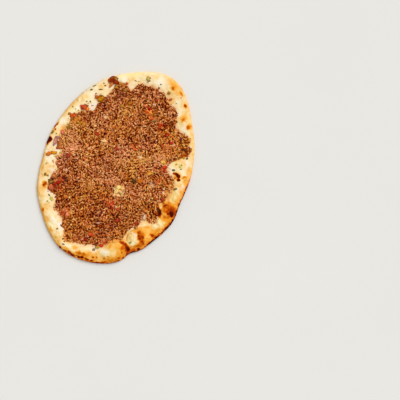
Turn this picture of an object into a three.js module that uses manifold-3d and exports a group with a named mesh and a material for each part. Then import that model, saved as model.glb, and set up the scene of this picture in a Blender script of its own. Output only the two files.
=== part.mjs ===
// Lahmacun: a thin oval flatbread baked with a spread layer of spiced mince.
//
// Millimetres, +Z up. The origin is on the table under the middle of the bread's box,
// +Y runs along the long axis of the oval, towards its narrower end.
//
// The bread is a disc turned on a lathe and then re-mapped ring by ring: its outline is an oval
// with a few slow waves, its middle is thin and flat, its rim is raised, and a few air blisters
// stand up from the rim. The mince is a second disc that lies in the middle, with a lobed margin
// that follows the rim. The larger pieces of tomato, pepper and onion are lumps that sit in the
// mince or on the rim, each in a pocket with a small gap round it.

import * as THREE from 'three';
import { mergeVertices } from 'three/addons/utils/BufferGeometryUtils.js';
import Module from 'manifold-3d';

// ---------------------------------------------------------------- driving dimensions (mm)

const LENGTH = 260;            // long axis of the oval
const MEAN_RADIUS = 109.7;     // mean distance of the edge from the middle
const DOUGH_MIDDLE = 3.0;      // thickness of the bread under the mince
const RIM_HEIGHT = 6.6;        // top of the plain rim above the table
const RIM_EDGE_HEIGHT = 2.7;   // height of the outermost point of the edge
const RIM_UNDERCUT = 9;        // width of the rounded lower edge that lifts off the table
const RIM_BASE_WIDTH = 14.6;   // least width of the bare rim, before the bays
const RIM_CREST = 0.5;         // where the rim is highest, from the margin (0) to the edge (1)
const MINCE_THICKNESS = 2.9;   // thickness of the layer of mince
const MINCE_EDGE = 1.3;        // thickness of the mince at its margin
const MINCE_RELIEF = 0.45;     // swing of the lumps on the mince
const GAP = 0.35;              // clearance between separate pieces
const SEGMENTS = 108;          // steps round the oval

// Waves of the outline: order round the oval, swing (mm), place of the crest (degrees from +X).
const OUTLINE_WAVES = [
  [1, 2.81, -72.6], [2, 16.52, -89.7], [3, 1.50, -42.9], [4, 2.67, -5.7], [5, 1.00, 5.3],
  [6, 0.97, 23.7], [7, 0.78, -24.8], [8, 0.63, -9.6], [9, 0.22, 11.3], [10, 0.45, 6.7],
];

// Bays and tongues of the mince's margin: direction (degrees), half width (degrees),
// depth (mm, a bay bares more of the rim, a tongue of mince is negative).
const MARGIN_BAYS = [
  [23.6, 11.7, 18.6], [32.5, 2.7, -15.2], [40.0, 5.4, -10.9], [58.8, 3.8, 7.6], [79.1, 12.1, 6.6],
  [103.2, 2.2, 9.1], [113.7, 2.4, -5.3], [133.2, 11.5, 11.7], [170.4, 3.4, -2.1], [188.6, 5.0, 7.6],
  [207.7, 7.1, 10.5], [230.0, 5.3, 11.5], [248.7, 6.9, 8.5], [259.3, 2.2, -4.3], [270.4, 5.9, 7.0],
  [289.9, 8.5, 14.8], [304.9, 4.2, 11.8], [317.2, 8.7, 12.4], [328.0, 3.9, -14.5], [333.9, 11.4, 16.3],
  [349.6, 2.6, -2.1],
];

// Air blisters on the rim: middle x, y, half length, half width, turn (degrees), height (mm).
const BLISTERS = [
  { x: 42.0, y: -99.5, a: 17.0, b: 11.5, turn: 22, h: 5.6 },
  { x: 62.5, y: -73.5, a: 15.0, b: 10.5, turn: 52, h: 5.0 },
  { x: 82.5, y: -30.0, a: 13.0, b: 9.0, turn: 66, h: 2.8 },
  { x: 10.0, y: -112.0, a: 16.0, b: 8.0, turn: 5, h: 1.6 },
  { x: 22.0, y: 119.0, a: 15.0, b: 7.5, turn: -22, h: 1.7 },
  { x: 75.0, y: 69.0, a: 13.0, b: 7.0, turn: -58, h: 1.5 },
  { x: 79.0, y: 22.0, a: 12.0, b: 8.5, turn: 80, h: 1.4 },
];

// Larger pieces of vegetable: middle x, y, half length, half width, half height, turn (degrees).
const PIECES = [
  { name: 'tomato_rim_left', kind: 'tomato', x: -68.3, y: 50.3, a: 5.6, b: 5.0, c: 2.3, turn: 20 },
  { name: 'tomato_margin_left', kind: 'tomato', x: -78.1, y: 34.9, a: 4.3, b: 3.7, c: 2.0, turn: 70 },
  { name: 'tomato_upper', kind: 'tomato', x: 6.9, y: 81.0, a: 5.4, b: 4.4, c: 2.1, turn: 10 },
  { name: 'tomato_middle', kind: 'tomato', x: 10.2, y: 29.8, a: 4.8, b: 4.2, c: 2.0, turn: 40 },
  { name: 'tomato_right', kind: 'tomato', x: 54.7, y: 20.4, a: 5.6, b: 4.0, c: 2.1, turn: 75 },
  { name: 'tomato_right_low', kind: 'tomato', x: 55.5, y: -0.1, a: 5.2, b: 4.2, c: 2.1, turn: 30 },
  { name: 'tomato_low_left', kind: 'tomato', x: -38.0, y: -83.3, a: 6.2, b: 4.6, c: 2.2, turn: -10 },
  { name: 'tomato_left', kind: 'tomato', x: -60.4, y: -51.7, a: 6.4, b: 4.8, c: 2.3, turn: 55 },
  { name: 'tomato_low', kind: 'tomato', x: 12.4, y: -49.8, a: 5.0, b: 4.2, c: 2.0, turn: 0 },
  { name: 'tomato_lower_margin', kind: 'tomato', x: 52.3, y: -58.4, a: 5.4, b: 3.4, c: 2.0, turn: 38 },
  { name: 'tomato_foot', kind: 'tomato', x: 19.6, y: -103.5, a: 5.6, b: 3.2, c: 2.0, turn: 48 },
  { name: 'tomato_head', kind: 'tomato', x: 29.5, y: 67.5, a: 4.2, b: 3.6, c: 2.0, turn: 0 },
  { name: 'tomato_browned', kind: 'browned', x: -48.7, y: 96.6, a: 6.2, b: 4.8, c: 2.3, turn: 35 },
  { name: 'tomato_charred', kind: 'browned', x: 71.3, y: 48.6, a: 5.2, b: 4.4, c: 2.2, turn: 10 },
  { name: 'pepper_rim', kind: 'pepper', x: -53.8, y: 70.7, a: 7.0, b: 3.8, c: 2.1, turn: -2 },
  { name: 'pepper_strip_left', kind: 'pepper', x: -82.8, y: -20.0, a: 6.0, b: 2.4, c: 1.7, turn: 24 },
  { name: 'onion_left', kind: 'onion', x: -81.2, y: -4.4, a: 7.0, b: 4.6, c: 2.1, turn: 100 },
  { name: 'onion_low', kind: 'onion', x: 14.9, y: -30.6, a: 5.6, b: 4.4, c: 1.9, turn: 50 },
];

// Colour, roughness and metalness of each kind of piece.
const LOOKS = {
  crust: { color: 0xefc98f, roughness: 0.82, metalness: 0 },
  mince: { color: 0xa9622f, roughness: 0.6, metalness: 0 },
  tomato: { color: 0xb8402a, roughness: 0.38, metalness: 0 },
  browned: { color: 0x6e2a18, roughness: 0.5, metalness: 0 },
  pepper: { color: 0xb08a3a, roughness: 0.42, metalness: 0 },
  onion: { color: 0xd9a583, roughness: 0.45, metalness: 0 },
};

// ---------------------------------------------------------------- shape functions

const rad = (d) => (d * Math.PI) / 180;
const clamp = (v, lo, hi) => Math.min(hi, Math.max(lo, v));
const smooth = (t) => { const c = clamp(t, 0, 1); return c * c * (3 - 2 * c); };
const mix = (a, b, t) => a + (b - a) * t;
const bell = (d, w) => Math.exp(-0.5 * (d / w) ** 2);
const turnBetween = (a, b) => ((a - b + 540) % 360) - 180;

// Distance of the bread's edge from the middle, in the direction t (radians).
function edgeRadius(t) {
  let r = MEAN_RADIUS;
  for (const [order, swing, crest] of OUTLINE_WAVES) r += swing * Math.cos(order * (t - rad(crest)));
  return r;
}

// Distance of the mince's margin from the middle.
function marginRadius(t) {
  const deg = ((t * 180) / Math.PI + 720) % 360;
  let rim = RIM_BASE_WIDTH;
  for (const [at, width, depth] of MARGIN_BAYS) rim += depth * bell(turnBetween(deg, at), width);
  return edgeRadius(t) - rim;
}

// The oval's box, so that the bread can be centred over the origin and brought to its length.
const span = { x0: 1e9, x1: -1e9, y0: 1e9, y1: -1e9 };
for (let i = 0; i < SEGMENTS; i++) {
  const t = (i / SEGMENTS) * 2 * Math.PI;
  const r = edgeRadius(t);
  span.x0 = Math.min(span.x0, r * Math.cos(t)); span.x1 = Math.max(span.x1, r * Math.cos(t));
  span.y0 = Math.min(span.y0, r * Math.sin(t)); span.y1 = Math.max(span.y1, r * Math.sin(t));
}
const SCALE = LENGTH / (span.y1 - span.y0);
const MIDDLE = { x: (span.x0 + span.x1) / 2, y: (span.y0 + span.y1) / 2 };
const placed = (x, y) => [(x - MIDDLE.x) * SCALE, (y - MIDDLE.y) * SCALE];

// Height that the blisters add at a point.
function blisterHeight(x, y) {
  let h = 0;
  for (const s of BLISTERS) {
    const c = Math.cos(rad(s.turn)), n = Math.sin(rad(s.turn));
    const u = ((x - s.x) * c + (y - s.y) * n) / s.a;
    const v = (-(x - s.x) * n + (y - s.y) * c) / s.b;
    const d = u * u + v * v;
    if (d < 1) h = Math.max(h, s.h * (1 - d) ** 0.8 * (1.15 - 0.15 * d));
  }
  return h;
}

// Height of the rim's crest in the direction t.
const crestHeight = (t) =>
  RIM_HEIGHT + 0.45 * Math.sin(3 * t + 0.6) + 0.35 * Math.sin(7 * t + 2.1) + 0.25 * Math.sin(13 * t + 0.4);

// Top of the bread at the place q across the rim: 0 at the mince's margin, 1 at the edge.
const REACH = 0.34;            // how far under the mince the rim's inner slope starts
function doughTop(q, t) {
  const top = crestHeight(t);
  if (q <= RIM_CREST) return mix(DOUGH_MIDDLE, top, smooth((q + REACH) / (RIM_CREST + REACH)));
  const s = (q - RIM_CREST) / (1 - RIM_CREST);
  return RIM_EDGE_HEIGHT + (top - RIM_EDGE_HEIGHT) * Math.sqrt(Math.max(0, 1 - s ** 2.3));
}

// Radius at the place q across the rim. Places under the mince run on by rim widths.
function ringRadius(q, t) {
  const m = marginRadius(t), e = edgeRadius(t);
  const w = q < 0 ? Math.min(e - m, 20) : e - m;
  return m + q * w;
}

// Slow lumps of the mince.
const lumps = (x, y) =>
  MINCE_RELIEF * (Math.sin(x / 4.1 + 1.3 * Math.sin(y / 9.3)) * Math.sin(y / 4.7 + 0.8) +
    0.7 * Math.sin(x / 9.7 - y / 6.1 + 0.5) + 0.5 * Math.sin(x / 15.3 + y / 12.1));

// ---------------------------------------------------------------- turned discs

// A lathe whose rings are re-mapped: rings[i](t) gives [radius, height] in the direction t.
// The first and last rings are on the axis.
function turned(rings) {
  const profile = rings.map((_, i) =>
    new THREE.Vector2(i === 0 || i === rings.length - 1 ? 0 : 1, i));
  const g = new THREE.LatheGeometry(profile, SEGMENTS);
  const p = g.getAttribute('position');
  for (let k = 0; k < p.count; k++) {
    const i = Math.round(p.getY(k));
    const seg = Math.floor(k / rings.length) % SEGMENTS;
    const t = (seg / SEGMENTS) * 2 * Math.PI;
    const [r, z] = rings[i](t);
    const [x, y] = placed(r * Math.cos(t), r * Math.sin(t));
    p.setXYZ(k, x, y, z);
  }
  return solid(g);
}

const wasm = await Module();
wasm.setup();

// A closed three.js geometry as a solid.
function solid(geometry) {
  const g = geometry.index ? geometry.toNonIndexed() : geometry.clone();
  g.deleteAttribute('normal');
  g.deleteAttribute('uv');
  const m = mergeVertices(g, 1e-3);
  const made = new wasm.Manifold(new wasm.Mesh({
    numProp: 3,
    vertProperties: new Float32Array(m.getAttribute('position').array),
    triVerts: new Uint32Array(m.index.array),
  }));
  return made;
}

// A solid as a three.js geometry.
function geometryOf(made) {
  const m = made.getMesh();
  const g = new THREE.BufferGeometry();
  g.setAttribute('position', new THREE.BufferAttribute(new Float32Array(m.vertProperties), 3));
  g.setIndex(new THREE.BufferAttribute(new Uint32Array(m.triVerts), 1));
  g.computeVertexNormals();
  return g;
}

// Bread: flat underside, rounded edge, rim, thin middle.
const UNDER = [0.5, 1];
const UNDERCUT = [0.45, 0.75, 0.93];
const RIM_ROWS = [0.96, 0.86, 0.74, 0.6, 0.46, 0.31, 0.16, 0, -0.17, -REACH];
const MIDDLE_ROWS = [0.6];

const innerRadius = (t) => ringRadius(-REACH, t);
const rimPoint = (q) => (t) => {
  const r = ringRadius(q, t);
  const [x, y] = [r * Math.cos(t), r * Math.sin(t)];
  const lift = q > 0 ? blisterHeight(x, y) * smooth((1 - q) / 0.12) * smooth(q / 0.16) : 0;
  return [r, doughTop(q, t) + lift];
};

const bread = turned([
  () => [0, 0],
  ...UNDER.map((f) => (t) => [f * (edgeRadius(t) - RIM_UNDERCUT), 0]),
  ...UNDERCUT.map((f) => (t) => [
    edgeRadius(t) - RIM_UNDERCUT * (1 - f), RIM_EDGE_HEIGHT * (1 - Math.sqrt(1 - f * f)) * 0.92,
  ]),
  (t) => [edgeRadius(t), RIM_EDGE_HEIGHT],
  ...RIM_ROWS.map(rimPoint),
  ...MIDDLE_ROWS.map((f) => (t) => [f * innerRadius(t), DOUGH_MIDDLE]),
  () => [0, DOUGH_MIDDLE],
]);

// Mince: its underside follows the bread, its top is lumpy and thins towards the margin.
const minceTop = (f) => (t) => {
  const q = -REACH + f * (REACH - 0.02);
  const r = ringRadius(q, t);
  const [x, y] = [r * Math.cos(t), r * Math.sin(t)];
  const thick = mix(MINCE_EDGE, MINCE_THICKNESS, smooth((1 - f) / 0.9));
  return [r, doughTop(q, t) + GAP + thick + lumps(x, y) * (1 - 0.5 * f)];
};
const minceInner = (f) => (t) => {
  const r = f * innerRadius(t);
  return [r, DOUGH_MIDDLE + GAP + MINCE_THICKNESS + lumps(r * Math.cos(t), r * Math.sin(t))];
};
let mince = turned([
  () => [0, DOUGH_MIDDLE + GAP],
  (t) => [0.55 * innerRadius(t), DOUGH_MIDDLE + GAP],
  (t) => [innerRadius(t), DOUGH_MIDDLE + GAP],
  (t) => [ringRadius(-0.17, t), doughTop(-0.17, t) + GAP + 0.2],
  (t) => [ringRadius(0, t), doughTop(0, t) + GAP + 0.3],
  minceTop(0.97), minceTop(0.6), minceTop(0.2),
  ...[0.92, 0.75, 0.56, 0.38, 0.19].map(minceInner),
  () => [0, DOUGH_MIDDLE + GAP + MINCE_THICKNESS],
]);

// ---------------------------------------------------------------- pieces of vegetable

// Top of the food at a point, where a piece comes to rest.
function surfaceHeight(x, y) {
  const X = x / SCALE + MIDDLE.x, Y = y / SCALE + MIDDLE.y;
  const t = Math.atan2(Y, X), r = Math.hypot(X, Y);
  const m = marginRadius(t), e = edgeRadius(t);
  const w = r < m ? Math.min(e - m, 20) : e - m;
  const q = (r - m) / w;
  const dough = q < -REACH ? DOUGH_MIDDLE : doughTop(Math.min(q, 0.98), t);
  if (q > -0.02) return dough;
  const f = clamp((q + REACH) / (REACH - 0.02), 0, 1);
  return dough + GAP + mix(MINCE_EDGE, MINCE_THICKNESS, smooth((1 - f) / 0.9));
}

// An uneven lump: a ball of facets with soft corners, cut flatter on top, grown by `grow` on all sides.
function lump(s, seed, grow) {
  const g = new THREE.IcosahedronGeometry(1, 1);
  const p = g.getAttribute('position');
  const v = new THREE.Vector3();
  for (let k = 0; k < p.count; k++) {
    v.fromBufferAttribute(p, k);
    const wave = 1 + 0.10 * Math.sin(3.1 * v.x + seed) + 0.09 * Math.sin(4.3 * v.y + 1.7 * seed) +
      0.06 * Math.sin(5.2 * v.z + 2.3 * seed);
    // squarer than a ball, as a diced piece is
    const corner = 1 / Math.max(Math.hypot(v.x, v.y, v.z), 0.82 * (Math.abs(v.x) ** 4 + Math.abs(v.y) ** 4 + Math.abs(v.z) ** 4) ** 0.25 * 1.22);
    v.multiplyScalar(wave * corner);
    p.setXYZ(k, v.x * (s.a + grow), v.y * (s.b + grow), v.z * (s.c + grow));
  }
  g.rotateZ(rad(s.turn));
  return g;
}

const group = new THREE.Group();
const named = (name, geometry, kind, at) => {
  const mesh = new THREE.Mesh(geometry, new THREE.MeshStandardMaterial(LOOKS[kind]));
  mesh.name = name;
  if (at) mesh.position.set(...at);
  return mesh;
};

let loaf = bread;
const pieces = new THREE.Group();
PIECES.forEach((s, i) => {
  const z = surfaceHeight(s.x, s.y) + (s.c - 1.55);
  const at = [s.x, s.y, z];
  pieces.add(named(s.name, lump(s, i + 1, 0), s.kind, at));
  const pocket = lump(s, i + 1, GAP + 0.12);
  pocket.translate(...at);
  const cut = solid(pocket);
  mince = mince.subtract(cut);
  loaf = loaf.subtract(cut);
});

group.add(named('flatbread', geometryOf(loaf), 'crust'));
group.add(named('mince_topping', geometryOf(mince), 'mince'));
group.add(pieces);

export default group;
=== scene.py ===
"""Lahmacun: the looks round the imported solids. Millimetres in the shape functions, metres in Blender."""

import math

import bmesh
import bpy
import numpy as np
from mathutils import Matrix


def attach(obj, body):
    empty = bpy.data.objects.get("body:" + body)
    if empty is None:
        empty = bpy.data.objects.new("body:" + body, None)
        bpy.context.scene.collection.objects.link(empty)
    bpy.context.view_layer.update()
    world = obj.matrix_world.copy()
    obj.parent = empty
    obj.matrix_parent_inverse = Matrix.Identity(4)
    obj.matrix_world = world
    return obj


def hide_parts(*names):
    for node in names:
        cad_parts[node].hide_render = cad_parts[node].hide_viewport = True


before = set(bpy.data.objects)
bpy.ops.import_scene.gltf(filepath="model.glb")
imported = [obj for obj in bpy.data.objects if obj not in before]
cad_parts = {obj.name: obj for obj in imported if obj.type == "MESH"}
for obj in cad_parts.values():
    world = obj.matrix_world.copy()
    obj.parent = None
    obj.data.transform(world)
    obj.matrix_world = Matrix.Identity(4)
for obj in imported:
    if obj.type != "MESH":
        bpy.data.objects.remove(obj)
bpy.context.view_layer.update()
MM = 0.001
rad = math.radians

# ------------------------------------------------------------------ the camera comes first
TURN = rad(24.0)            # the photograph's upright leans this much from the bread's long axis
PIXEL = 1.2685              # millimetres a pixel, in a frame of 400 pixels
MID_PX = (117.07, 165.16)   # where the origin lies in that frame


def at_px(x, y):
    """The place on the bread, in millimetres, that lies at that pixel of the 400-pixel frame."""
    dx, dy = (np.asarray(x, float) - MID_PX[0]) * PIXEL, -(np.asarray(y, float) - MID_PX[1]) * PIXEL
    c, s = math.cos(TURN), math.sin(TURN)
    return c * dx - s * dy, s * dx + c * dy


LENS, SENSOR = 100.0, 36.0
cam_data = bpy.data.cameras.new("camera")
cam_data.lens, cam_data.sensor_width = LENS, SENSOR
cam_data.clip_start, cam_data.clip_end = 0.05, 50
camera = bpy.data.objects.new("camera", cam_data)
cx, cy = at_px(200, 200)
camera.location = (cx * MM, cy * MM, 400 * PIXEL * MM * LENS / SENSOR + 0.006)
camera.rotation_euler = (0, 0, TURN)
bpy.context.scene.collection.objects.link(camera)
bpy.context.scene.camera = camera

# ------------------------------------------------------------------ noise


def _hash(ix, iy, iz, seed):
    h = (ix.astype(np.int64) * 374761393 + iy.astype(np.int64) * 668265263
         + np.asarray(iz, np.int64) * 1274126177 + seed * 69069 + 12345) & 0xFFFFFFFF
    h = ((h ^ (h >> 13)) * 1274126177) & 0xFFFFFFFF
    h = ((h ^ (h >> 16)) * 2246822519) & 0xFFFFFFFF
    return ((h ^ (h >> 15)) & 0xFFFFFF) / float(0xFFFFFF)


def noise(x, y, seed=0, z=0.0):
    """Smooth value noise, about -1 to 1."""
    x, y = np.asarray(x, float), np.asarray(y, float)
    z = np.asarray(z, float) + np.zeros_like(x)
    xi, yi, zi = np.floor(x), np.floor(y), np.floor(z)
    fx, fy, fz = x - xi, y - yi, z - zi
    u, v, w = (f * f * f * (f * (f * 6 - 15) + 10) for f in (fx, fy, fz))
    total = 0
    for dx in (0, 1):
        for dy in (0, 1):
            for dz in (0, 1):
                k = (u if dx else 1 - u) * (v if dy else 1 - v) * (w if dz else 1 - w)
                total = total + k * _hash(xi + dx, yi + dy, zi + dz, seed)
    return total * 2 - 1


def fbm(x, y, seed=0, octaves=4, z=0.0):
    total, amp, size, norm = 0, 1.0, 1.0, 0.0
    for o in range(octaves):
        total = total + amp * noise(x * size, y * size, seed + 17 * o, z * size)
        norm += amp
        amp *= 0.5
        size *= 2.03
    return total / norm


def smooth(t):
    t = np.clip(t, 0, 1)
    return t * t * (3 - 2 * t)


def step(lo, hi, v):
    return smooth((v - lo) / (hi - lo))


def mix(a, b, t):
    return a + (b - a) * t


def cells(x, y, pitch, seed, jitter=0.85):
    """Distance to the nearest and second nearest seed, in pitches, and the nearest seed's number (0 to 1)."""
    gx, gy = x / pitch, y / (pitch * 0.866)
    ix, iy = np.floor(gx), np.floor(gy)
    d1 = np.full(x.shape, 9.0)
    d2 = np.full(x.shape, 9.0)
    who = np.zeros(x.shape)
    for dy in (-2, -1, 0, 1, 2):
        jy = iy + dy
        shift = np.where(np.mod(jy, 2) > 0.5, 0.5, 0.0)
        for dx in (-2, -1, 0, 1, 2):
            jx = ix + dx
            sx = jx + shift + 0.5 + (_hash(jx, jy, 0, seed) - 0.5) * jitter
            sy = jy + 0.5 + (_hash(jx, jy, 1, seed) - 0.5) * jitter
            d = np.hypot(gx - sx, (gy - sy) * 0.866)
            near = d < d1
            d2 = np.where(near, d1, np.minimum(d2, d))
            who = np.where(near, _hash(jx, jy, 2, seed), who)
            d1 = np.where(near, d, d1)
    return d1, d2, who


# ------------------------------------------------------------------ the form, as in the CAD model
LENGTH, MEAN_RADIUS = 260.0, 109.7
DOUGH_MIDDLE, RIM_HEIGHT, RIM_EDGE_HEIGHT, RIM_UNDERCUT = 3.0, 6.6, 2.7, 9.0
RIM_BASE_WIDTH, RIM_CREST, REACH = 14.6, 0.5, 0.34
MINCE_THICKNESS, MINCE_EDGE, GAP = 2.9, 1.3, 0.35
OUTLINE_WAVES = [
    (1, 2.81, -72.6), (2, 16.52, -89.7), (3, 1.50, -42.9), (4, 2.67, -5.7), (5, 1.00, 5.3),
    (6, 0.97, 23.7), (7, 0.78, -24.8), (8, 0.63, -9.6), (9, 0.22, 11.3), (10, 0.45, 6.7),
]
MARGIN_BAYS = [
    (23.6, 11.7, 18.6), (32.5, 2.7, -15.2), (40.0, 5.4, -10.9), (58.8, 3.8, 7.6), (79.1, 12.1, 6.6),
    (103.2, 2.2, 9.1), (113.7, 2.4, -5.3), (133.2, 11.5, 11.7), (170.4, 3.4, -2.1), (188.6, 5.0, 7.6),
    (207.7, 7.1, 10.5), (230.0, 5.3, 11.5), (248.7, 6.9, 8.5), (259.3, 2.2, -4.3), (270.4, 5.9, 7.0),
    (289.9, 8.5, 14.8), (304.9, 4.2, 11.8), (317.2, 8.7, 12.4), (328.0, 3.9, -14.5), (333.9, 11.4, 16.3),
    (349.6, 2.6, -2.1),
]


def edge_radius(t):
    r = MEAN_RADIUS + 0 * t
    for order, swing, crest in OUTLINE_WAVES:
        r = r + swing * np.cos(order * (t - rad(crest)))
    return r


def margin_radius(t):
    deg = np.degrees(t) % 360
    rim = RIM_BASE_WIDTH + 0 * t
    for at, width, depth in MARGIN_BAYS:
        rim = rim + depth * np.exp(-0.5 * (((deg - at + 540) % 360 - 180) / width) ** 2)
    return edge_radius(t) - rim


_t = np.arange(108) / 108 * 2 * math.pi
_x, _y = edge_radius(_t) * np.cos(_t), edge_radius(_t) * np.sin(_t)
SCALE = LENGTH / (_y.max() - _y.min())
MID = ((_x.max() + _x.min()) / 2, (_y.max() + _y.min()) / 2)


def placed(x, y):
    return (x - MID[0]) * SCALE, (y - MID[1]) * SCALE


def unplaced(x, y):
    return x / SCALE + MID[0], y / SCALE + MID[1]


def across(x, y):
    """For a place on the bread: direction, place across the rim (0 at the margin, 1 at the edge), rim width."""
    X, Y = unplaced(x, y)
    t = np.arctan2(Y, X)
    r = np.hypot(X, Y)
    m, e = margin_radius(t), edge_radius(t)
    w = np.where(r < m, np.minimum(e - m, 20), e - m)
    return t, (r - m) / w, w


def flatness(t):
    """Where the rim is low and even, from 0 to 1, by direction in the photograph."""
    deg = (np.degrees(t) - 24) % 360
    return np.interp(deg, [0, 75, 105, 135, 165, 200, 250, 300, 325, 345, 360],
                     [1, 1, 0.85, 0.5, 0.3, 0.3, 0.1, 0, 0.15, 0.7, 1])


def drawn_in(t):
    """Millimetres by which the visible edge lies inside the smooth outline, on the left and where two blisters meet."""
    deg = (np.degrees(t) - 24) % 360
    return np.interp(deg, [0, 95, 115, 135, 165, 200, 228, 242, 256, 266, 270, 272.5, 274.5, 276.5, 278.5, 281, 284, 287.5,
                           293, 300, 305, 310, 315, 319, 324, 329, 336, 346, 354, 360],
                     [0, 0, 0.6, 1.2, 1.4, 1.4, 1.2, 0.8, 0.9, 0.6, 0.6, 1.2, 2.9, 4.9, 5.2, 3.8, 2.2, 1.2,
                      1.5, 1.7, 1.7, 0.8, 0.3, 0.7, 2.0, 2.5, 2.0, 1.0, 0, 0])


def crest_height(t):
    top = RIM_HEIGHT + 0.45 * np.sin(3 * t + 0.6) + 0.35 * np.sin(7 * t + 2.1) + 0.25 * np.sin(13 * t + 0.4)
    return top * (1 - 0.22 * flatness(t))


def dough_top(q, t):
    top = crest_height(t)
    inner = mix(DOUGH_MIDDLE, top, smooth((q + REACH) / (RIM_CREST + REACH)))
    s = np.clip((q - RIM_CREST) / (1 - RIM_CREST), 0, 1)
    outer = RIM_EDGE_HEIGHT + (top - RIM_EDGE_HEIGHT) * np.sqrt(np.clip(1 - s ** 2.3, 0, 1))
    return np.where(q <= RIM_CREST, inner, outer)


# Air blisters: middle (pixels), half length, half width (mm), turn (degrees, on the bread), height (mm), fullness.
BLISTERS = [
    (113.8, 251.0, 21.0, 13.0, 44, 5.4, 0.62), (139.6, 237.2, 18.0, 12.0, 50, 5.0, 0.62),
    (168.3, 211.5, 10.0, 8.5, 60, 1.9, 0.8), (160.0, 224.5, 12.0, 7.0, 62, 0.9, 1.0),
    (179.0, 166.0, 11.0, 8.5, 80, 0.8, 1.2), (184.0, 121.0, 8.0, 6.0, 95, 0.7, 1.2),
    (171.0, 88.0, 10.0, 7.0, -30, 0.9, 1.2), (147.0, 77.5, 12.0, 5.5, 20, 0.6, 1.2),
    (88.0, 99.0, 12.0, 6.5, 62, 0.8, 1.2), (45.0, 170.0, 9.0, 5.0, 100, 1.2, 1.0),
    (52.0, 218.0, 12.0, 5.5, -32, 1.1, 1.0), (80.0, 252.0, 15.0, 6.0, 8, 1.5, 0.9),
    (62.0, 232.0, 9.0, 6.0, -10, 0.9, 1.0), (48.0, 142.0, 7.0, 4.0, 90, 1.0, 1.0),
]


def blister_height(x, y):
    h = np.zeros_like(x)
    for px, py, a, b, turn, high, full in BLISTERS:
        mx, my = at_px(px, py)
        c, s = math.cos(rad(turn)), math.sin(rad(turn))
        wob = 1 + 0.10 * noise(x / 9, y / 9, 91)
        u = ((x - mx) * c + (y - my) * s) / a * wob
        v = (-(x - mx) * s + (y - my) * c) / b * wob
        d = u * u + v * v
        # the first one runs out gently on its left
        full = full + (0.9 * step(0.1, 0.8, -u) if px == BLISTERS[0][0] else 0)
        dome = high * np.clip(1 - d, 0, 1) ** full
        h = np.maximum(h, dome)
    return h


def blister_crease(x, y):
    """The fold baked round the foot of the large blisters: a dip in the dough, and painted shade in its colour."""
    k = np.zeros_like(x)
    for px, py, a, b, turn, high, full in BLISTERS[:3]:
        mx, my = at_px(px, py)
        c, s = math.cos(rad(turn)), math.sin(rad(turn))
        wob = 1 + 0.10 * noise(x / 9, y / 9, 91)
        u = ((x - mx) * c + (y - my) * s) / a * wob
        v = (-(x - mx) * s + (y - my) * c) / b * wob
        d = np.sqrt(u * u + v * v)
        # only on the side towards the topping
        inner = step(-0.1, 0.5, -(u * (mx * c + my * s) + v * (my * c - mx * s)) / math.hypot(mx, my))
        if px == BLISTERS[0][0]:
            inner = inner * (1 - step(0.1, 0.7, -u))
        k = np.maximum(k, inner * np.exp(-((d - 1.0) / 0.07) ** 2) * step(-0.5, 0.5, noise(x / 6, y / 6, 92) + 0.2))
    return k


def micro_blisters(x, y, pitch, seed, keep):
    d1, _, who = cells(x, y, pitch, seed)
    on = (who < keep) * (0.4 + 0.6 * np.modf(who * 37.7)[0])
    return on * np.clip(1 - (d1 / (0.30 + 0.14 * np.modf(who * 91.3)[0])) ** 2, 0, 1)


def bread_top(x, y, t, q, w):
    """Height of the bread's upper surface."""
    lift = blister_height(x, y) * step(0, 0.12, 1 - q) * step(0, 0.14, q)
    z = dough_top(q, t) + lift
    on_rim = step(-0.3, 0.05, q) * step(0.0, 0.16, 1 - q)
    z = z + on_rim * (1 - 0.45 * flatness(t)) * (0.95 * fbm(x / 16, y / 16, 5, 3) + 0.42 * fbm(x / 5.5, y / 5.5, 9, 3)
                      + 0.13 * fbm(x / 1.9, y / 1.9, 13, 2)
                      + 0.95 * micro_blisters(x, y, 9.0, 21, 0.5) + 0.48 * micro_blisters(x, y, 4.2, 22, 0.45)
                      - 0.35 * micro_blisters(x, y, 3.1, 23, 0.25) - 0.55 * blister_crease(x, y))
    return z


# ------------------------------------------------------------------ meshes


def mesh_object(name, verts, faces, smooth_faces=True):
    """faces is an array of triangles or quads, or a list of such arrays."""
    me = bpy.data.meshes.new(name)
    groups = faces if isinstance(faces, list) else [faces]
    loops = np.concatenate([g.ravel() for g in groups])
    sizes = np.concatenate([np.full(len(g), g.shape[1]) for g in groups])
    starts = np.concatenate([[0], np.cumsum(sizes)[:-1]])
    me.vertices.add(len(verts))
    me.vertices.foreach_set("co", (np.asarray(verts, float) * MM).astype(np.float32).ravel())
    me.loops.add(len(loops))
    me.loops.foreach_set("vertex_index", loops.astype(np.int32))
    me.polygons.add(len(sizes))
    me.polygons.foreach_set("loop_start", starts.astype(np.int32))
    me.polygons.foreach_set("use_smooth", np.full(len(sizes), smooth_faces))
    me.update(calc_edges=True)
    me.validate()
    ob = bpy.data.objects.new(name, me)
    bpy.context.scene.collection.objects.link(ob)
    return ob


def value_layer(ob, name, values):
    a = ob.data.attributes.new(name, "FLOAT", "POINT")
    a.data.foreach_set("value", np.asarray(values, np.float32))


def colour_layer(ob, name, rgb):
    a = ob.data.attributes.new(name, "FLOAT_COLOR", "POINT")
    full = np.ones((len(rgb), 4), np.float32)
    full[:, :3] = rgb
    a.data.foreach_set("color", full.ravel())


def bake_map(ob, uv):
    """uv holds one pair for each corner."""
    layer = ob.data.uv_layers.new(name="OFBake")
    layer.data.foreach_set("uv", np.asarray(uv, np.float32).ravel())


def linear(r, g, b):
    c = np.array([r, g, b], float) / 255
    return np.where(c <= 0.04045, c / 12.92, ((c + 0.055) / 1.055) ** 2.4)


# ------------------------------------------------------------------ materials


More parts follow.
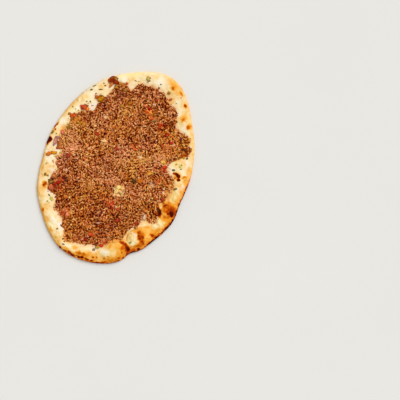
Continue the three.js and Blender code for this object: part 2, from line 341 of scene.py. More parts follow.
class Nodes:
    def __init__(self, name):
        self.material = bpy.data.materials.new(name)
        self.material.use_nodes = True
        self.tree = self.material.node_tree
        self.tree.nodes.clear()
        out = self.tree.nodes.new("ShaderNodeOutputMaterial")
        self.shader = self.tree.nodes.new("ShaderNodeBsdfPrincipled")
        self.tree.links.new(self.shader.outputs[0], out.inputs[0])
        self.place = self.tree.nodes.new("ShaderNodeTexCoord").outputs["Object"]

    def _in(self, socket, value):
        if hasattr(value, "links") or isinstance(value, bpy.types.NodeSocket):
            self.tree.links.new(value, socket)
        elif hasattr(value, "__len__"):
            socket.default_value = (*[float(v) for v in value], 1.0)[: len(socket.default_value)]
        else:
            socket.default_value = float(value)

    def attribute(self, name, colour=False):
        n = self.tree.nodes.new("ShaderNodeAttribute")
        n.attribute_name = name
        return n.outputs["Color" if colour else "Fac"]

    def noise(self, scale, detail=3.0, rough=0.55, warp=0.0):
        n = self.tree.nodes.new("ShaderNodeTexNoise")
        self.tree.links.new(self.place, n.inputs["Vector"])
        n.inputs["Scale"].default_value = scale
        n.inputs["Detail"].default_value = detail
        n.inputs["Roughness"].default_value = rough
        n.inputs["Distortion"].default_value = warp
        return n.outputs[0]

    def voronoi(self, scale, feature="F1", jitter=1.0):
        n = self.tree.nodes.new("ShaderNodeTexVoronoi")
        n.feature = feature
        self.tree.links.new(self.place, n.inputs["Vector"])
        n.inputs["Scale"].default_value = scale
        n.inputs["Randomness"].default_value = jitter
        return n.outputs["Distance"]

    def math(self, op, a, b=0.0, c=0.0, clamp=False):
        n = self.tree.nodes.new("ShaderNodeMath")
        n.operation = op
        n.use_clamp = clamp
        self._in(n.inputs[0], a)
        self._in(n.inputs[1], b)
        if op in ("MULTIPLY_ADD", "SMOOTH_MIN", "SMOOTH_MAX", "COMPARE"):
            self._in(n.inputs[2], c)
        return n.outputs[0]

    def remap(self, v, lo, hi, to_lo=0.0, to_hi=1.0):
        n = self.tree.nodes.new("ShaderNodeMapRange")
        n.interpolation_type = "SMOOTHSTEP"
        self._in(n.inputs[0], v)
        for i, k in ((1, lo), (2, hi), (3, to_lo), (4, to_hi)):
            n.inputs[i].default_value = k
        return n.outputs[0]

    def ramp(self, fac, stops, smooth_steps=False):
        n = self.tree.nodes.new("ShaderNodeValToRGB")
        r = n.color_ramp
        r.interpolation = "EASE" if smooth_steps else "LINEAR"
        r.elements.remove(r.elements[1])
        r.elements[0].position = stops[0][0]
        r.elements[0].color = (*[float(v) for v in stops[0][1]], 1.0)
        for at, colour in stops[1:]:
            r.elements.new(at).color = (*[float(v) for v in colour], 1.0)
        self._in(n.inputs[0], fac)
        return n.outputs[0]

    def mix(self, fac, a, b, blend="MIX"):
        n = self.tree.nodes.new("ShaderNodeMix")
        n.data_type = "RGBA"
        n.blend_type = blend
        n.clamp_result = False
        self._in(n.inputs[0], fac)
        self._in(n.inputs[6], a)
        self._in(n.inputs[7], b)
        return n.outputs[2]

    def bump(self, height, strength, distance, under=None):
        n = self.tree.nodes.new("ShaderNodeBump")
        n.inputs["Strength"].default_value = strength
        n.inputs["Distance"].default_value = distance
        self._in(n.inputs["Height"], height)
        if under is not None:
            self.tree.links.new(under, n.inputs["Normal"])
        return n.outputs[0]

    def finish(self, colour, rough, normal=None, **sockets):
        self._in(self.shader.inputs["Base Color"], colour)
        self._in(self.shader.inputs["Roughness"], rough)
        if normal is not None:
            self.tree.links.new(normal, self.shader.inputs["Normal"])
        for name, value in sockets.items():
            self._in(self.shader.inputs[name.replace("_", " ")], value)
        return self.material


# ------------------------------------------------------------------ the bread
# Places on the rim that are baked darker: x, y, half length, half width (pixels), turn (degrees), heat.
# Heat 0.4 is golden, 0.65 orange-brown, 0.85 brown, 1 charred. Negative heat is pale dough.
BROWNED = [
    # first large blister and its dark crescent
    (114.5, 250.0, 9.5, 7.0, 20, 0.29), (119.6, 250.5, 5.5, 7.0, 40, 0.44), (124.8, 249.0, 4.2, 6.0, 60, 0.64),
    (114.0, 260.2, 13.0, 2.6, 6, 0.52), (110.8, 246.4, 4.0, 2.4, 30, 0.40), (115.6, 252.4, 1.8, 5.0, 0, -0.12), (121.4, 242.6, 3.8, 1.9, -25, 0.76), (124.6, 244.4, 3.4, 2.2, -40, 0.84),
    (127.2, 247.2, 3.0, 2.6, -60, 0.93), (128.0, 250.2, 2.3, 2.7, 80, 0.93), (127.8, 253.4, 1.8, 1.8, 0, 0.80),
    (122.5, 246.4, 1.6, 1.4, 0, 0.70), (122.4, 252.6, 1.0, 0.9, 0, 0.78), (119.0, 258.0, 1.6, 1.2, 0, 0.72),
    (108.0, 257.0, 1.1, 0.8, 0, 0.70), (104.0, 258.6, 1.0, 0.8, 0, 0.74), (104.6, 252.8, 5.0, 4.2, 20, -0.40),
    # second large blister
    (146.5, 232.0, 8.4, 6.0, 20, 0.36), (138.0, 230.5, 5.4, 3.2, 15, 0.46), (141.6, 236.5, 4.4, 7.0, 10, 0.64),
    (139.8, 233.4, 2.4, 2.8, -50, 0.74), (140.6, 237.5, 2.6, 3.4, 90, 0.85), (142.2, 242.2, 2.4, 2.9, 90, 0.72),
    (138.8, 245.4, 5.0, 2.6, 15, 0.60), (152.0, 235.4, 3.2, 2.5, -30, 0.75), (138.2, 249.3, 1.7, 1.3, 0, 0.95),
    (133.5, 250.2, 3.4, 1.6, 0, 0.62), (156.5, 231.5, 5.0, 3.2, 35, 0.54),
    (131.5, 238.0, 5.5, 8.0, 10, 0.17), (132.6, 244.5, 2.6, 4.0, 0, -0.20), (129.6, 239.0, 3.0, 4.0, 0, -0.10),
    # brown patch with its chars
    (169.0, 209.5, 8.4, 7.4, 20, 0.62), (166.5, 217.5, 8.0, 4.4, 35, 0.55), (165.4, 205.6, 5.6, 3.4, 15, 0.66),
    (171.0, 212.6, 5.6, 4.8, 25, 0.78), (158.8, 212.2, 3.0, 6.8, 10, 0.84), (158.7, 212.0, 2.3, 5.4, 10, 1.0),
    (157.2, 207.4, 1.8, 2.2, 10, 0.80), (171.3, 214.2, 2.3, 2.9, 10, 1.04), (168.4, 213.8, 2.2, 1.8, 0, 0.80), (161.4, 207.8, 2.0, 3.2, -20, -0.25),
    (165.8, 228.8, 8.0, 1.5, 49, 0.80), (159.6, 235.0, 3.0, 1.7, 44, 0.72), (167.4, 214.2, 1.1, 1.0, 0, 0.95),
    # hooked char and the smear beside it
    (177.0, 176.0, 4.4, 4.0, 0, 0.40), (174.4, 173.6, 1.9, 1.3, 10, 0.84), (176.6, 174.4, 2.0, 1.7, -40, 0.92),
    (178.2, 176.6, 1.9, 2.2, 90, 0.98), (178.4, 179.8, 1.7, 2.0, 90, 0.97), (184.0, 177.8, 3.4, 2.0, 10, 0.62),
    (182.6, 191.5, 3.2, 5.0, 10, 0.42), (185.6, 181.2, 3.2, 2.8, 0, 0.42), (174.8, 178.4, 1.6, 1.6, 0, 0.66),
    # right and upper edge
    (173.5, 85.8, 4.6, 6.0, 10, 0.45), (176.5, 93.0, 3.6, 4.6, 0, 0.36), (172.6, 88.4, 2.2, 2.0, 0, 0.70), (168.9, 93.0, 2.0, 2.0, 0, 0.46),
    (183.5, 119.2, 4.2, 3.6, 0, 0.50), (182.8, 119.6, 2.3, 2.0, 0, 0.66), (188.3, 127.4, 3.6, 2.7, 25, 0.70),
    (185.6, 106.2, 2.2, 2.4, 0, 0.78), (181.6, 93.8, 1.7, 4.0, 30, 0.62), (189.5, 141.0, 1.8, 4.0, 0, 0.44),
    # left and lower edge
    (49.6, 138.8, 2.9, 2.9, -25, 1.02), (48.0, 142.0, 2.0, 3.2, -20, 0.90), (44.6, 183.6, 2.4, 3.4, -10, 0.72), (43.8, 185.4, 1.3, 1.5, 0, 0.82),
    (43.0, 209.4, 2.0, 2.0, 15, 0.70), (55.8, 124.8, 4.4, 1.1, 48, 0.84), (54.8, 129.2, 1.1, 1.1, 0, 0.92), (60.0, 247.4, 1.9, 1.5, 0, 0.93),
    (64.6, 250.6, 2.2, 1.4, -30, 0.80), (69.2, 251.8, 2.6, 1.8, -20, 0.78), (79.0, 252.8, 3.6, 2.6, -10, 0.66),
    (82.0, 257.2, 2.2, 1.7, 0, 0.94), (78.8, 257.0, 1.6, 1.3, 0, 0.90), (91.6, 260.4, 2.0, 1.2, -10, 0.90),
    (93.2, 257.2, 1.4, 1.3, 0, 0.80), (97.5, 262.6, 3.4, 1.1, -5, 0.88), (74.5, 247.2, 3.6, 2.6, -10, 0.42),
    (72.5, 255.0, 3.2, 1.7, -25, 0.84), (86.5, 259.0, 2.8, 1.5, -15, 0.86), (103.4, 262.2, 3.0, 1.0, 0, 0.86),
    (84.0, 254.6, 5.0, 2.0, -12, 0.62), (66.0, 248.0, 4.0, 1.6, -30, 0.44), (45.6, 219.0, 2.2, 3.4, 20, 0.36),
    (172.0, 97.0, 4.0, 6.0, 0, 0.27), (188.5, 172.0, 2.2, 6.0, 0, 0.38), (60.0, 240.0, 5.0, 3.4, -40, 0.30),
    (88.0, 255.0, 12.0, 4.6, 8, 0.43), (96.4, 257.0, 1.1, 0.9, 0, 0.62),
    (93.0, 105.5, 4.6, 3.8, 50, -0.30), (47.0, 168.0, 2.6, 6.0, 0, 0.26),
    (69.4, 113.6, 1.4, 1.4, 0, 0.60), (50.5, 229.0, 1.8, 3.0, 30, 0.34),
    (45.6, 174.4, 1.8, 1.6, 0, 0.48), (53.0, 131.0, 1.4, 3.0, -35, 0.50),
]
# Browning along the outer edge: direction in the photograph (degrees), heat, width of the band (mm), thin line.
EDGE_HEAT = np.array([
    (0, 0.24, 2.2, 0.08), (22, 0.22, 2.0, 0.05), (48, 0.20, 2.0, 0.04), (75, 0.15, 2.4, 0.02), (110, 0.17, 2.0, 0.04),
    (150, 0.24, 2.4, 0.15), (180, 0.26, 2.8, 0.20), (205, 0.27, 2.8, 0.20), (225, 0.30, 3.0, 0.24), (238, 0.40, 4.4, 0.34),
    (252, 0.47, 6.4, 0.44), (268, 0.46, 7.0, 0.42), (282, 0.46, 6.5, 0.40), (300, 0.48, 6.5, 0.52), (316, 0.48, 7.0, 0.54), (330, 0.50, 7.0, 0.46),
    (341, 0.42, 4.0, 0.40), (352, 0.32, 2.6, 0.20), (360, 0.24, 2.2, 0.08),
])


# Broad parts of the rim that are baked more or less: x, y, half length, half width (pixels), turn, change in heat.
RIM_CASTS = [
    # top and right
    (116.0, 79.0, 16, 4, 8, -0.08), (138.0, 74.0, 17, 4, 5, -0.06), (164.0, 79.0, 8, 5, 20, 0.03), (176.0, 91.0, 8, 10, 0, 0.15),
    (182.0, 117.0, 7, 13, 0, 0.19), (179.0, 163.0, 8, 8, 0, 0.16), (180.0, 183.0, 8, 9, 0, 0.19),
    # foot, with the two large blisters
    (165.0, 221.0, 7, 5, 0, 0.14), (148.0, 221.0, 5, 4, 0, 0.15), (147.0, 240.0, 5, 4, 0, 0.11), (146.0, 231.0, 4, 4, 0, -0.08),
    (131.0, 250.0, 9, 4, 0, 0.13), (116.0, 249.0, 3, 6, 0, -0.05), (106.0, 260.0, 7, 3, 0, -0.10), (84.0, 248.0, 8, 3, 10, -0.06),
    # left
    (67.0, 249.0, 6, 4, 30, -0.12), (56.0, 239.0, 5, 5, 40, -0.09), (46.0, 219.0, 4, 7, 20, -0.07), (46.0, 210.0, 4, 5, 0, 0.04),
    (46.0, 200.0, 3, 4, 0, -0.12), (45.5, 185.0, 5, 10, 0, 0.21), (46.0, 168.0, 3, 5, 0, -0.05), (46.0, 150.5, 4, 6, 10, -0.18),
    (60.0, 118.0, 6, 4, -50, -0.05), (87.0, 97.0, 5, 4, 40, 0.04),
]
# Dough with a pinker (above 0) or a yellower, greener cast (below 0): x, y, half length, half width, turn, amount.
RIM_HUES = [
    (104.5, 252.5, 5, 4, 0, 0.9), (60.0, 226.0, 5, 7, -30, 0.8), (92.0, 250.0, 8, 4, 10, 0.7), (50.0, 166.0, 5, 6, 0, 0.7),
    (103.0, 104.0, 6, 4, 30, 0.8), (90.0, 110.0, 5, 3, 40, 0.6), (184.0, 190.0, 4, 6, 20, 0.7), (187.0, 166.0, 3, 7, 0, 0.8),
    (176.0, 98.0, 5, 7, 10, 0.3), (66.0, 240.0, 5, 4, 30, 0.5), (164.0, 205.0, 4, 4, 0, 0.7), (54.0, 144.0, 4, 5, 0, 0.5),
    (158.0, 82.0, 6, 3, 10, 0.5), (120.0, 78.0, 7, 3, 0, -0.5), (86.0, 98.0, 5, 4, 40, -0.9), (93.5, 105.5, 4, 3, 50, 1.0), (91.6, 95.5, 3, 4, 0, 0.8), (72.0, 112.0, 5, 4, 40, -0.4),
    (176.0, 165.0, 7, 5, 0, -1.0), (172.0, 196.0, 7, 5, -40, -0.9), (160.0, 219.0, 7, 4, -30, -0.7), (130.0, 237.0, 4, 5, 0, -0.6),
    (176.0, 126.0, 4, 6, 0, -0.6), (138.0, 75.0, 15, 4, 5, -0.9), (45.5, 193.0, 4, 11, 0, 0.7), (46.0, 178.0, 4, 5, 0, -0.6),
    (52.0, 208.0, 4, 6, 0, -0.5), (58.0, 133.0, 4, 4, 0, -0.7), (76.0, 247.0, 5, 3, 10, -0.5),
]


def cast_of(parts, x, y):
    total = np.zeros_like(x)
    for px, py, a, b, turn, lift in parts:
        mx, my = at_px(px, py)
        c, s = math.cos(rad(turn) + TURN), math.sin(rad(turn) + TURN)
        u = ((x - mx) * c + (y - my) * s) / (a * PIXEL)
        v = (-(x - mx) * s + (y - my) * c) / (b * PIXEL)
        total = total + lift * np.exp(-(u * u + v * v))
    return total


def heat_at(x, y, t, q, w):
    """How far the dough is baked, from 0 (pale) to 1 (charred), and the share of char."""
    rough = fbm(x / 4.5, y / 4.5, 31, 3)
    fine = fbm(x / 1.6, y / 1.6, 32, 2)
    heat = 0.18 + 0.20 * fbm(x / 19, y / 19, 33, 2) + 0.17 * fbm(x / 7.5, y / 7.5, 34, 3) + 0.05 * fine
    # paler along the crown of the rim, golden towards the outside
    deg = (np.degrees(t) - 24) % 360
    outwards = 0.05 - 0.10 * np.interp(deg, [0, 48, 72, 112, 135, 360], [0, 0, 1, 1, 0, 0])
    heat = heat - 0.09 * np.exp(-((q - 0.30) / 0.30) ** 2) + outwards * step(0.60, 1.0, q)
    hot = np.interp(deg, EDGE_HEAT[:, 0], EDGE_HEAT[:, 1]) * (1 + 0.20 * noise(np.cos(t) * 9, np.sin(t) * 9, 35))
    band = np.interp(deg, EDGE_HEAT[:, 0], EDGE_HEAT[:, 2]) * (1 + 0.40 * rough)
    out = np.clip((1 - q) * w - drawn_in(t) * np.interp(deg, [255, 270], [0, 1]), 0, 99)
    k = np.exp(-(out / band) ** 1.7)
    heat = mix(heat, hot * (1 + 0.34 * rough + 0.22 * fine), k)
    line = np.interp(deg, EDGE_HEAT[:, 0], EDGE_HEAT[:, 3])
    heat = heat + line * (1 + 0.6 * fine + 0.4 * rough) * np.exp(-(out / (1.3 + 0.8 * np.interp(deg, [285, 297, 318, 328], [0, 1, 1, 0]))) ** 1.5)
    heat = heat + cast_of(RIM_CASTS, x, y)
    xs, ys = x + 1.2 * fbm(x / 3.4, y / 3.4, 41, 2), y + 1.2 * fbm(x / 3.4, y / 3.4, 42, 2)
    char = np.zeros_like(x)
    pale = np.zeros_like(x)
    for px, py, a, b, turn, hot in BROWNED:
        mx, my = at_px(px, py)
        a, b = a * PIXEL, b * PIXEL
        c, s = math.cos(rad(turn) + TURN), math.sin(rad(turn) + TURN)
        u = ((xs - mx) * c + (ys - my) * s) / a
        v = (-(xs - mx) * s + (ys - my) * c) / b
        d = np.sqrt(u * u + v * v)
        soft = 0.95 if hot < 0 else 0.75 if hot < 0.76 else 0.60 if hot < 0.96 else 0.40
        k = 1 - step(1 - soft, 1 + soft * 0.55, d)
        if hot < 0:
            pale = np.maximum(pale, -hot * k)
            continue
        heat = np.maximum(heat, mix(heat, hot * (1 + 0.14 * rough + 0.07 * fine), k))
        if hot > 0.96:
            char = np.maximum(char, k)
    # painted shade: darker in the fold round the foot of the large blisters
    heat = heat + 0.30 * blister_crease(x, y) * (1 - char)
    heat = heat - pale * (1 - char)
    return np.clip(heat, 0, 1.05), char


def build_bread():
    segments = 1000
    t = np.arange(segments) / segments * 2 * math.pi
    e, m = edge_radius(t) - drawn_in(t), margin_radius(t)
    # a slightly uneven edge
    e = e + 0.45 * fbm(np.cos(t) * 14, np.sin(t) * 14, 3, 3) + 0.20 * fbm(np.cos(t) * 46, np.sin(t) * 46, 4, 2)
    under = [0.0, 0.3, 0.6, 0.82, 0.93, 1.0]
    undercut = np.sin(np.linspace(0, 1, 11)[1:-1] * math.pi / 2)
    outer = RIM_CREST + (1 - RIM_CREST) * np.sin(np.linspace(1, 0, 30)[:-1] * math.pi / 2)
    inner = np.linspace(RIM_CREST, -REACH, 34)
    centre = [0.85, 0.6, 0.3, 0.0]
    rows_r, rows_q, rows_kind = [], [], []
    wq = np.minimum(e - m, 20)
    r_in = m - REACH * wq
    for f in under:
        rows_r.append(f * (e - RIM_UNDERCUT)); rows_q.append(None); rows_kind.append(("flat", f))
    for f in undercut:
        rows_r.append(e - RIM_UNDERCUT * (1 - f)); rows_q.append(None); rows_kind.append(("cut", f))
    for q in [*outer, *inner]:
        w = np.where(q < 0, wq, e - m)
        rows_r.append(m + q * w); rows_q.append(q); rows_kind.append(("top", q))
    for f in centre:
        rows_r.append(f * r_in); rows_q.append(None); rows_kind.append(("mid", f))
    V, side = [], []
    for r, q, (kind, f) in zip(rows_r, rows_q, rows_kind):
        x, y = placed(r * np.cos(t), r * np.sin(t))
        if kind == "flat":
            z = np.zeros_like(x)
        elif kind == "cut":
            z = RIM_EDGE_HEIGHT * (1 - math.sqrt(1 - f * f)) + 0 * x
        elif kind == "mid":
            z = DOUGH_MIDDLE + 0 * x
        else:
            z = bread_top(x, y, t, np.full_like(t, q), np.where(q < 0, wq, e - m))
        V.append(np.stack([x, y, z], 1))
        side.append(np.full(segments, 0 if kind in ("flat", "cut") else 1))
    # the edge rises and dips a little along its length
    n = len(V)
    V = np.array(V)
    side = np.concatenate(side)
    rise = 0.5 * fbm(np.cos(t) * 3.1, np.sin(t) * 3.1, 8, 2)
    for i, (kind, f) in enumerate(rows_kind):
        if kind == "cut":
            V[i, :, 2] += rise * f * f * 0.8
        elif kind == "top" and f > RIM_CREST:
            V[i, :, 2] += rise * ((f - RIM_CREST) / (1 - RIM_CREST)) * 0.8
    V[:, :, 2] = np.maximum(V[:, :, 2], 0)
    verts = V.reshape(-1, 3)
    a = np.arange(segments)
    b = (a + 1) % segments
    quads = []
    for i in range(n - 1):
        if rows_kind[i] == ("flat", 0.0) or rows_kind[i + 1] == ("mid", 0.0):
            continue
        c, d = i * segments, (i + 1) * segments
        quads.append(np.stack([c + a, d + a, d + b, c + b], 1))
    quads = np.concatenate(quads)
    first, last = 0, (n - 1) * segments       # one vertex of each stands for the centre
    low = np.stack([np.full(segments, first), segments + a, segments + b], 1)
    high = np.stack([(n - 2) * segments + a, np.full(segments, last), (n - 2) * segments + b], 1)
    keep = np.ones(len(verts), bool)
    keep[1:segments] = False
    keep[last + 1:] = False
    number = np.cumsum(keep) - 1
    quads, low, high = number[quads], number[low], number[high]
    verts, side = verts[keep], side[keep]
    # outwards
    quads, low, high = quads[:, ::-1], low[:, ::-1], high[:, ::-1]
    ob = mesh_object("bread", verts, [quads, low, high])
    x, y, z = verts.T
    tt, q, w = across(x, y)
    heat, char = heat_at(x, y, tt, q, w)
    # the steeper parts take more colour: partly browning, partly painted shade, warmer and darker on the slopes
    facing = np.zeros(len(verts) * 3, np.float32)
    ob.data.vertices.foreach_get("normal", facing)
    steep = 1 - facing.reshape(-1, 3)[:, 2]
    inside = 0.3 + 0.7 * step(1.0, 5.0, (1 - q) * w)
    heat = heat + inside * (0.07 * smooth(steep / 0.14) + 0.12 * np.clip(steep, 0, 0.5)) * (1 - step(0.25, 0.50, heat))
    # painted shade: the dough is painted yellower where its form turns away from the lamp, in place of light that has
    # passed through it
    N = facing.reshape(-1, 3)
    lamp_side = rad(45) + TURN
    lit = N[:, 2] * math.cos(rad(36)) + math.sin(rad(36)) * (N[:, 0] * math.cos(lamp_side) + N[:, 1] * math.sin(lamp_side))
    painted_shade_warmth = np.clip(1 - lit / math.cos(rad(36)), 0, 0.5) / 0.5
    below = side == 0
    # the underside: pale, with browned patches where it lay on the oven floor
    patch = step(0.0, 0.5, fbm(x / 15, y / 15, 61, 4)) * 0.42 + step(0.12, 0.45, fbm(x / 4.0, y / 4.0, 62, 3)) * 0.22
    heat_low = 0.20 + patch + 0.25 * step(0.25, 0.5, fbm(x / 6.5, y / 6.5, 63, 3))
    blend = np.clip(1 - z / 2.2, 0, 1)
    heat = np.where(below, mix(heat, heat_low, smooth(blend)), heat)
    char = np.where(below, char * (1 - smooth(blend)), char)
    near = np.clip(q * w, -4, 60)
    juice = np.exp(-np.clip(near, 0, 60) / (2.2 + 1.6 * fbm(x / 7, y / 7, 51, 2)))
    juice = juice * step(-0.6, 0.5, fbm(x / 3.0, y / 3.0, 52, 3) + 0.35)
    value_layer(ob, "baking", heat)
    value_layer(ob, "char", char)
    juice = juice * (1 - 0.8 * np.clip(cast_of(RIM_HUES, x, y), 0, 1))
    value_layer(ob, "juice", np.where(below, 0, juice))
    value_layer(ob, "hue", 0.5 - 0.35 * fbm(x / 8, y / 8, 55, 3) - 0.30 * cast_of(RIM_HUES, x, y))
    painted_shade_warmth = painted_shade_warmth * (1 - 0.75 * np.clip(cast_of(RIM_HUES, x, y), 0, 1))
    value_layer(ob, "painted_shade_warmth", np.where(below, 0, painted_shade_warmth))
    deg = (np.degrees(tt) - 24) % 360
    # painted shade: greyer and darker along the outer edge on the side turned from the lamp
    value_layer(ob, "painted_edge_shade", step(0.70, 0.98, q) * np.interp(deg, [0, 90, 114, 235, 262, 360], [0, 0, 1, 1, 0, 0]))
    # bake map: the upper side large, the underside small beside it
    me = ob.data
    loop_v = np.zeros(len(me.loops), np.int32)
    me.loops.foreach_get("vertex_index", loop_v)
    poly_start = np.zeros(len(me.polygons), np.int32)
    poly_size = np.zeros(len(me.polygons), np.int32)
    me.polygons.foreach_get("loop_start", poly_start)
    me.polygons.foreach_get("loop_total", poly_size)
    poly_low = np.array([below[loop_v[s:s + k]].any() for s, k in zip(poly_start, poly_size)])
    loop_low = np.repeat(poly_low, poly_size)
    lx, ly = x[loop_v], y[loop_v]
    big = 1 / 268.0
    u = np.where(loop_low, 0.755 + (lx + 96) / 192 * 0.235, 0.012 + (lx + 97) * big)
    v = np.where(loop_low, 0.02 + (ly + 132) / 192 * 0.235, 0.014 + (ly + 131) * big)
    bake_map(ob, np.stack([u, v], 1))
    return ob


def dough_material():
    n = Nodes("baked_dough")
    baking = n.attribute("baking")
    speck = n.remap(n.noise(900, 2, 0.6), 0.58, 0.72, 0.0, 0.20)
    broad = n.math("SUBTRACT", n.noise(260, 4, 0.62), 0.5)
    heat = n.math("ADD", baking, n.math("MULTIPLY", broad, n.remap(baking, 0.1, 0.6, 0.20, 0.42)))
    heat = n.math("ADD", heat, n.math("MULTIPLY", speck, n.remap(baking, 0.25, 0.5, 0.15, 1.0)), clamp=True)
    base = n.ramp(heat, [
        (0.00, linear(255, 243, 212)), (0.12, linear(255, 232, 184)), (0.25, linear(251, 210, 142)),
        (0.37, linear(248, 188, 92)), (0.50, linear(242, 158, 42)), (0.62, linear(216, 110, 12)),
        (0.75, linear(176, 62, 0)), (0.87, linear(116, 22, 0)), (0.97, linear(58, 4, 0)),
    ])
    # pinkish white in some places, a greener yellow in others
    fades = n.remap(baking, 0.24, 0.50, 1.0, 0.0)
    pinker, greener = n.remap(n.attribute("hue"), 0.42, 0.16, 0.0, 0.78), n.remap(n.attribute("hue"), 0.58, 0.84, 0.0, 0.55)
    base = n.mix(n.math("MULTIPLY", fades, pinker), base, linear(255, 241, 224))
    base = n.mix(n.math("MULTIPLY", fades, greener), base, linear(253, 234, 156))
    # painted shade: yellower where the form turns away from the lamp
    base = n.mix(n.attribute("painted_shade_warmth"), base, n.mix(1.0, base, (1.0, 0.88, 0.52), "MULTIPLY"))
    # painted shade on the outer edge turned from the lamp
    base = n.mix(n.attribute("painted_edge_shade"), base, n.mix(1.0, base, (0.80, 0.83, 1.02), "MULTIPLY"))
    juice = n.math("MULTIPLY", n.attribute("juice"), n.remap(n.noise(420, 3), 0.30, 0.66, 0.35, 0.90))
    base = n.mix(n.math("MULTIPLY", juice, 0.75), base, linear(232, 150, 84))
    rough = n.math("MULTIPLY_ADD", n.noise(300, 3), 0.22, 0.58)
    rough = n.math("SUBTRACT", rough, n.math("MULTIPLY", n.attribute("juice"), 0.22))
    height = n.math("ADD", n.math("MULTIPLY", n.noise(520, 5, 0.62), 0.75), n.math("MULTIPLY", n.noise(1900, 3, 0.6), 0.25))
    normal = n.bump(height, 0.60, 0.0010)
    return n.finish(base, rough, normal, Specular_IOR_Level=0.07, Specular_Tint=(1.0, 0.74, 0.45))


bread = build_bread()
bread.data.materials.append(dough_material())
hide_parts("flatbread")
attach(bread, "root")


# ------------------------------------------------------------------ the cooked mince
# Patches of another colour in the mince: x, y, radius (pixels), colour, strength.
PATCHES = [
    (77.0, 120.5, 4.6, (222, 140, 34), 0.62), (105.3, 117.0, 2.3, (244, 190, 138), 0.80),
    (118.0, 190.8, 6.0, (255, 214, 148), 0.90), (103.6, 142.0, 3.8, (238, 180, 112), 0.72),
    (111.0, 147.0, 4.2, (188, 128, 44), 0.55), (151.5, 185.0, 3.4, (226, 176, 132), 0.62),
    (164.5, 164.0, 3.4, (240, 178, 104), 0.60), (143.0, 216.0, 3.0, (240, 188, 150), 0.60),
    (139.5, 157.0, 2.6, (236, 200, 150), 0.62), (150.5, 112.5, 6.2, (236, 132, 52), 0.60),
    (140.5, 181.0, 3.0, (206, 112, 20), 0.62), (149.0, 173.0, 2.8, (240, 166, 66), 0.70),
    (134.0, 181.5, 2.8, (66, 48, 20), 0.62), (91.0, 189.0, 5.0, (216, 136, 66), 0.50),
    (166.0, 149.0, 7.0, (196, 84, 40), 0.34), (60.0, 180.0, 5.5, (150, 50, 34), 0.42),
    (108.0, 200.0, 5.5, (196, 92, 50), 0.40), (84.0, 226.0, 4.5, (196, 110, 44), 0.40),
    (130.0, 106.0, 3.0, (170, 108, 32), 0.45), (148.0, 128.0, 3.0, (146, 110, 50), 0.40),
    (153.0, 118.0, 3.2, (206, 122, 40), 0.40), (95.0, 111.0, 3.0, (150, 66, 38), 0.35),
    (121.0, 96.0, 5.0, (150, 76, 60), 0.45), (104.0, 165.0, 6.0, (196, 128, 66), 0.30),
    (158.0, 140.0, 4.0, (150, 58, 28), 0.40), (66.0, 158.0, 5.0, (140, 56, 36), 0.42),
    (88.0, 142.0, 3.4, (206, 110, 56), 0.35), (70.0, 147.0, 4.2, (224, 136, 92), 0.40),
    (64.7, 179.3, 2.2, (56, 8, 14), 0.85), (84.6, 183.8, 2.6, (198, 132, 40), 0.45),
    (98.0, 213.0, 4.0, (150, 84, 58), 0.34), (125.0, 216.0, 4.5, (140, 82, 58), 0.34),
    (157.0, 195.0, 4.0, (190, 104, 70), 0.34), (76.0, 236.0, 4.5, (168, 78, 52), 0.35),
]


# How far the mince runs out over its margin, or stays back from it: direction on the bread (degrees), millimetres.
MINCE_MARGIN = np.array([
    (0, -0.5), (4, 0.5), (8, 3.5), (12, 2.5), (16, -2.5), (20, 0.0), (24, 2.0), (28, 4.0), (34, 4.5), (44, 4.0), (48, 2.5),
    (52, -3.0), (56, -1.0), (60, 2.5), (64, 3.0), (68, -0.5), (72, -3.5), (76, -4.5), (80, 0.0), (84, -1.5), (92, -1.5),
    (96, 0.0), (100, 2.0), (104, 0.5), (108, 4.0), (112, 2.5), (116, 0.5), (120, -1.0), (124, 1.0), (128, 1.0), (132, 1.5),
    (136, -1.5), (140, -2.0), (144, 0.0), (148, 3.0), (152, 2.5), (156, 2.0), (164, 0.5), (168, -3.0), (172, -0.5),
    (176, -1.5), (180, 1.0), (184, 0.5), (188, 1.5), (192, -3.0), (196, 0.5), (200, 2.0), (204, 2.0), (208, 0.5), (212, 3.0),
    (216, 2.5), (224, 4.0), (228, 4.0), (232, 1.0), (236, 0.0), (240, 0.5), (244, -1.0), (248, -2.0), (252, 2.5), (256, 0.0),
    (260, 2.0), (264, 1.5), (268, 2.5), (272, 2.5), (276, 0.5), (280, 1.5), (288, 1.5), (292, -2.0), (296, 1.5), (300, 0.0),
    (308, 1.0), (312, 1.5), (316, -2.0), (320, 0.0), (324, 5.0), (328, 3.0), (332, 2.5), (336, 0.0), (344, 1.0), (348, -2.5),
    (352, -4.0), (356, -2.5), (360, -0.5),
])


def mince_edge(t):
    deg = np.degrees(t) % 360
    return (margin_radius(t) + np.interp(deg, MINCE_MARGIN[:, 0], MINCE_MARGIN[:, 1])
            + 0.9 * fbm(np.cos(t) * 24, np.sin(t) * 24, 70, 2)
            + 0.8 * noise(np.cos(t) * 48, np.sin(t) * 48, 72) + 0.4 * noise(np.cos(t) * 90, np.sin(t) * 90, 68))


def mince_depth(x, y):
    """Millimetres inside the mince's margin (negative outside), and the share of the way out."""
    X, Y = unplaced(x, y)
    t, r = np.arctan2(Y, X), np.hypot(X, Y)
    e = mince_edge(t)
    return e - r, r / e


def swells(x, y, seed):
    """Evenly spaced smooth swells (gradient noise), about -1 to 1."""
    xi, yi = np.floor(x), np.floor(y)
    fx, fy = x - xi, y - yi
    u, v = (f * f * f * (f * (f * 6 - 15) + 10) for f in (fx, fy))
    total = 0
    for dx in (0, 1):
        for dy in (0, 1):
            a = 2 * math.pi * _hash(xi + dx, yi + dy, 0, seed)
            total = total + (u if dx else 1 - u) * (v if dy else 1 - v) * ((fx - dx) * np.cos(a) + (fy - dy) * np.sin(a))
    return 1.5 * total


def ridge(x, y, size, seed, narrow=2.3):
    """Curling ridges: 1 along their crests, 0 in the hollows between."""
    return smooth(1 - np.clip(np.abs(swells(x / size, y / size, seed)) * narrow, 0, 1))


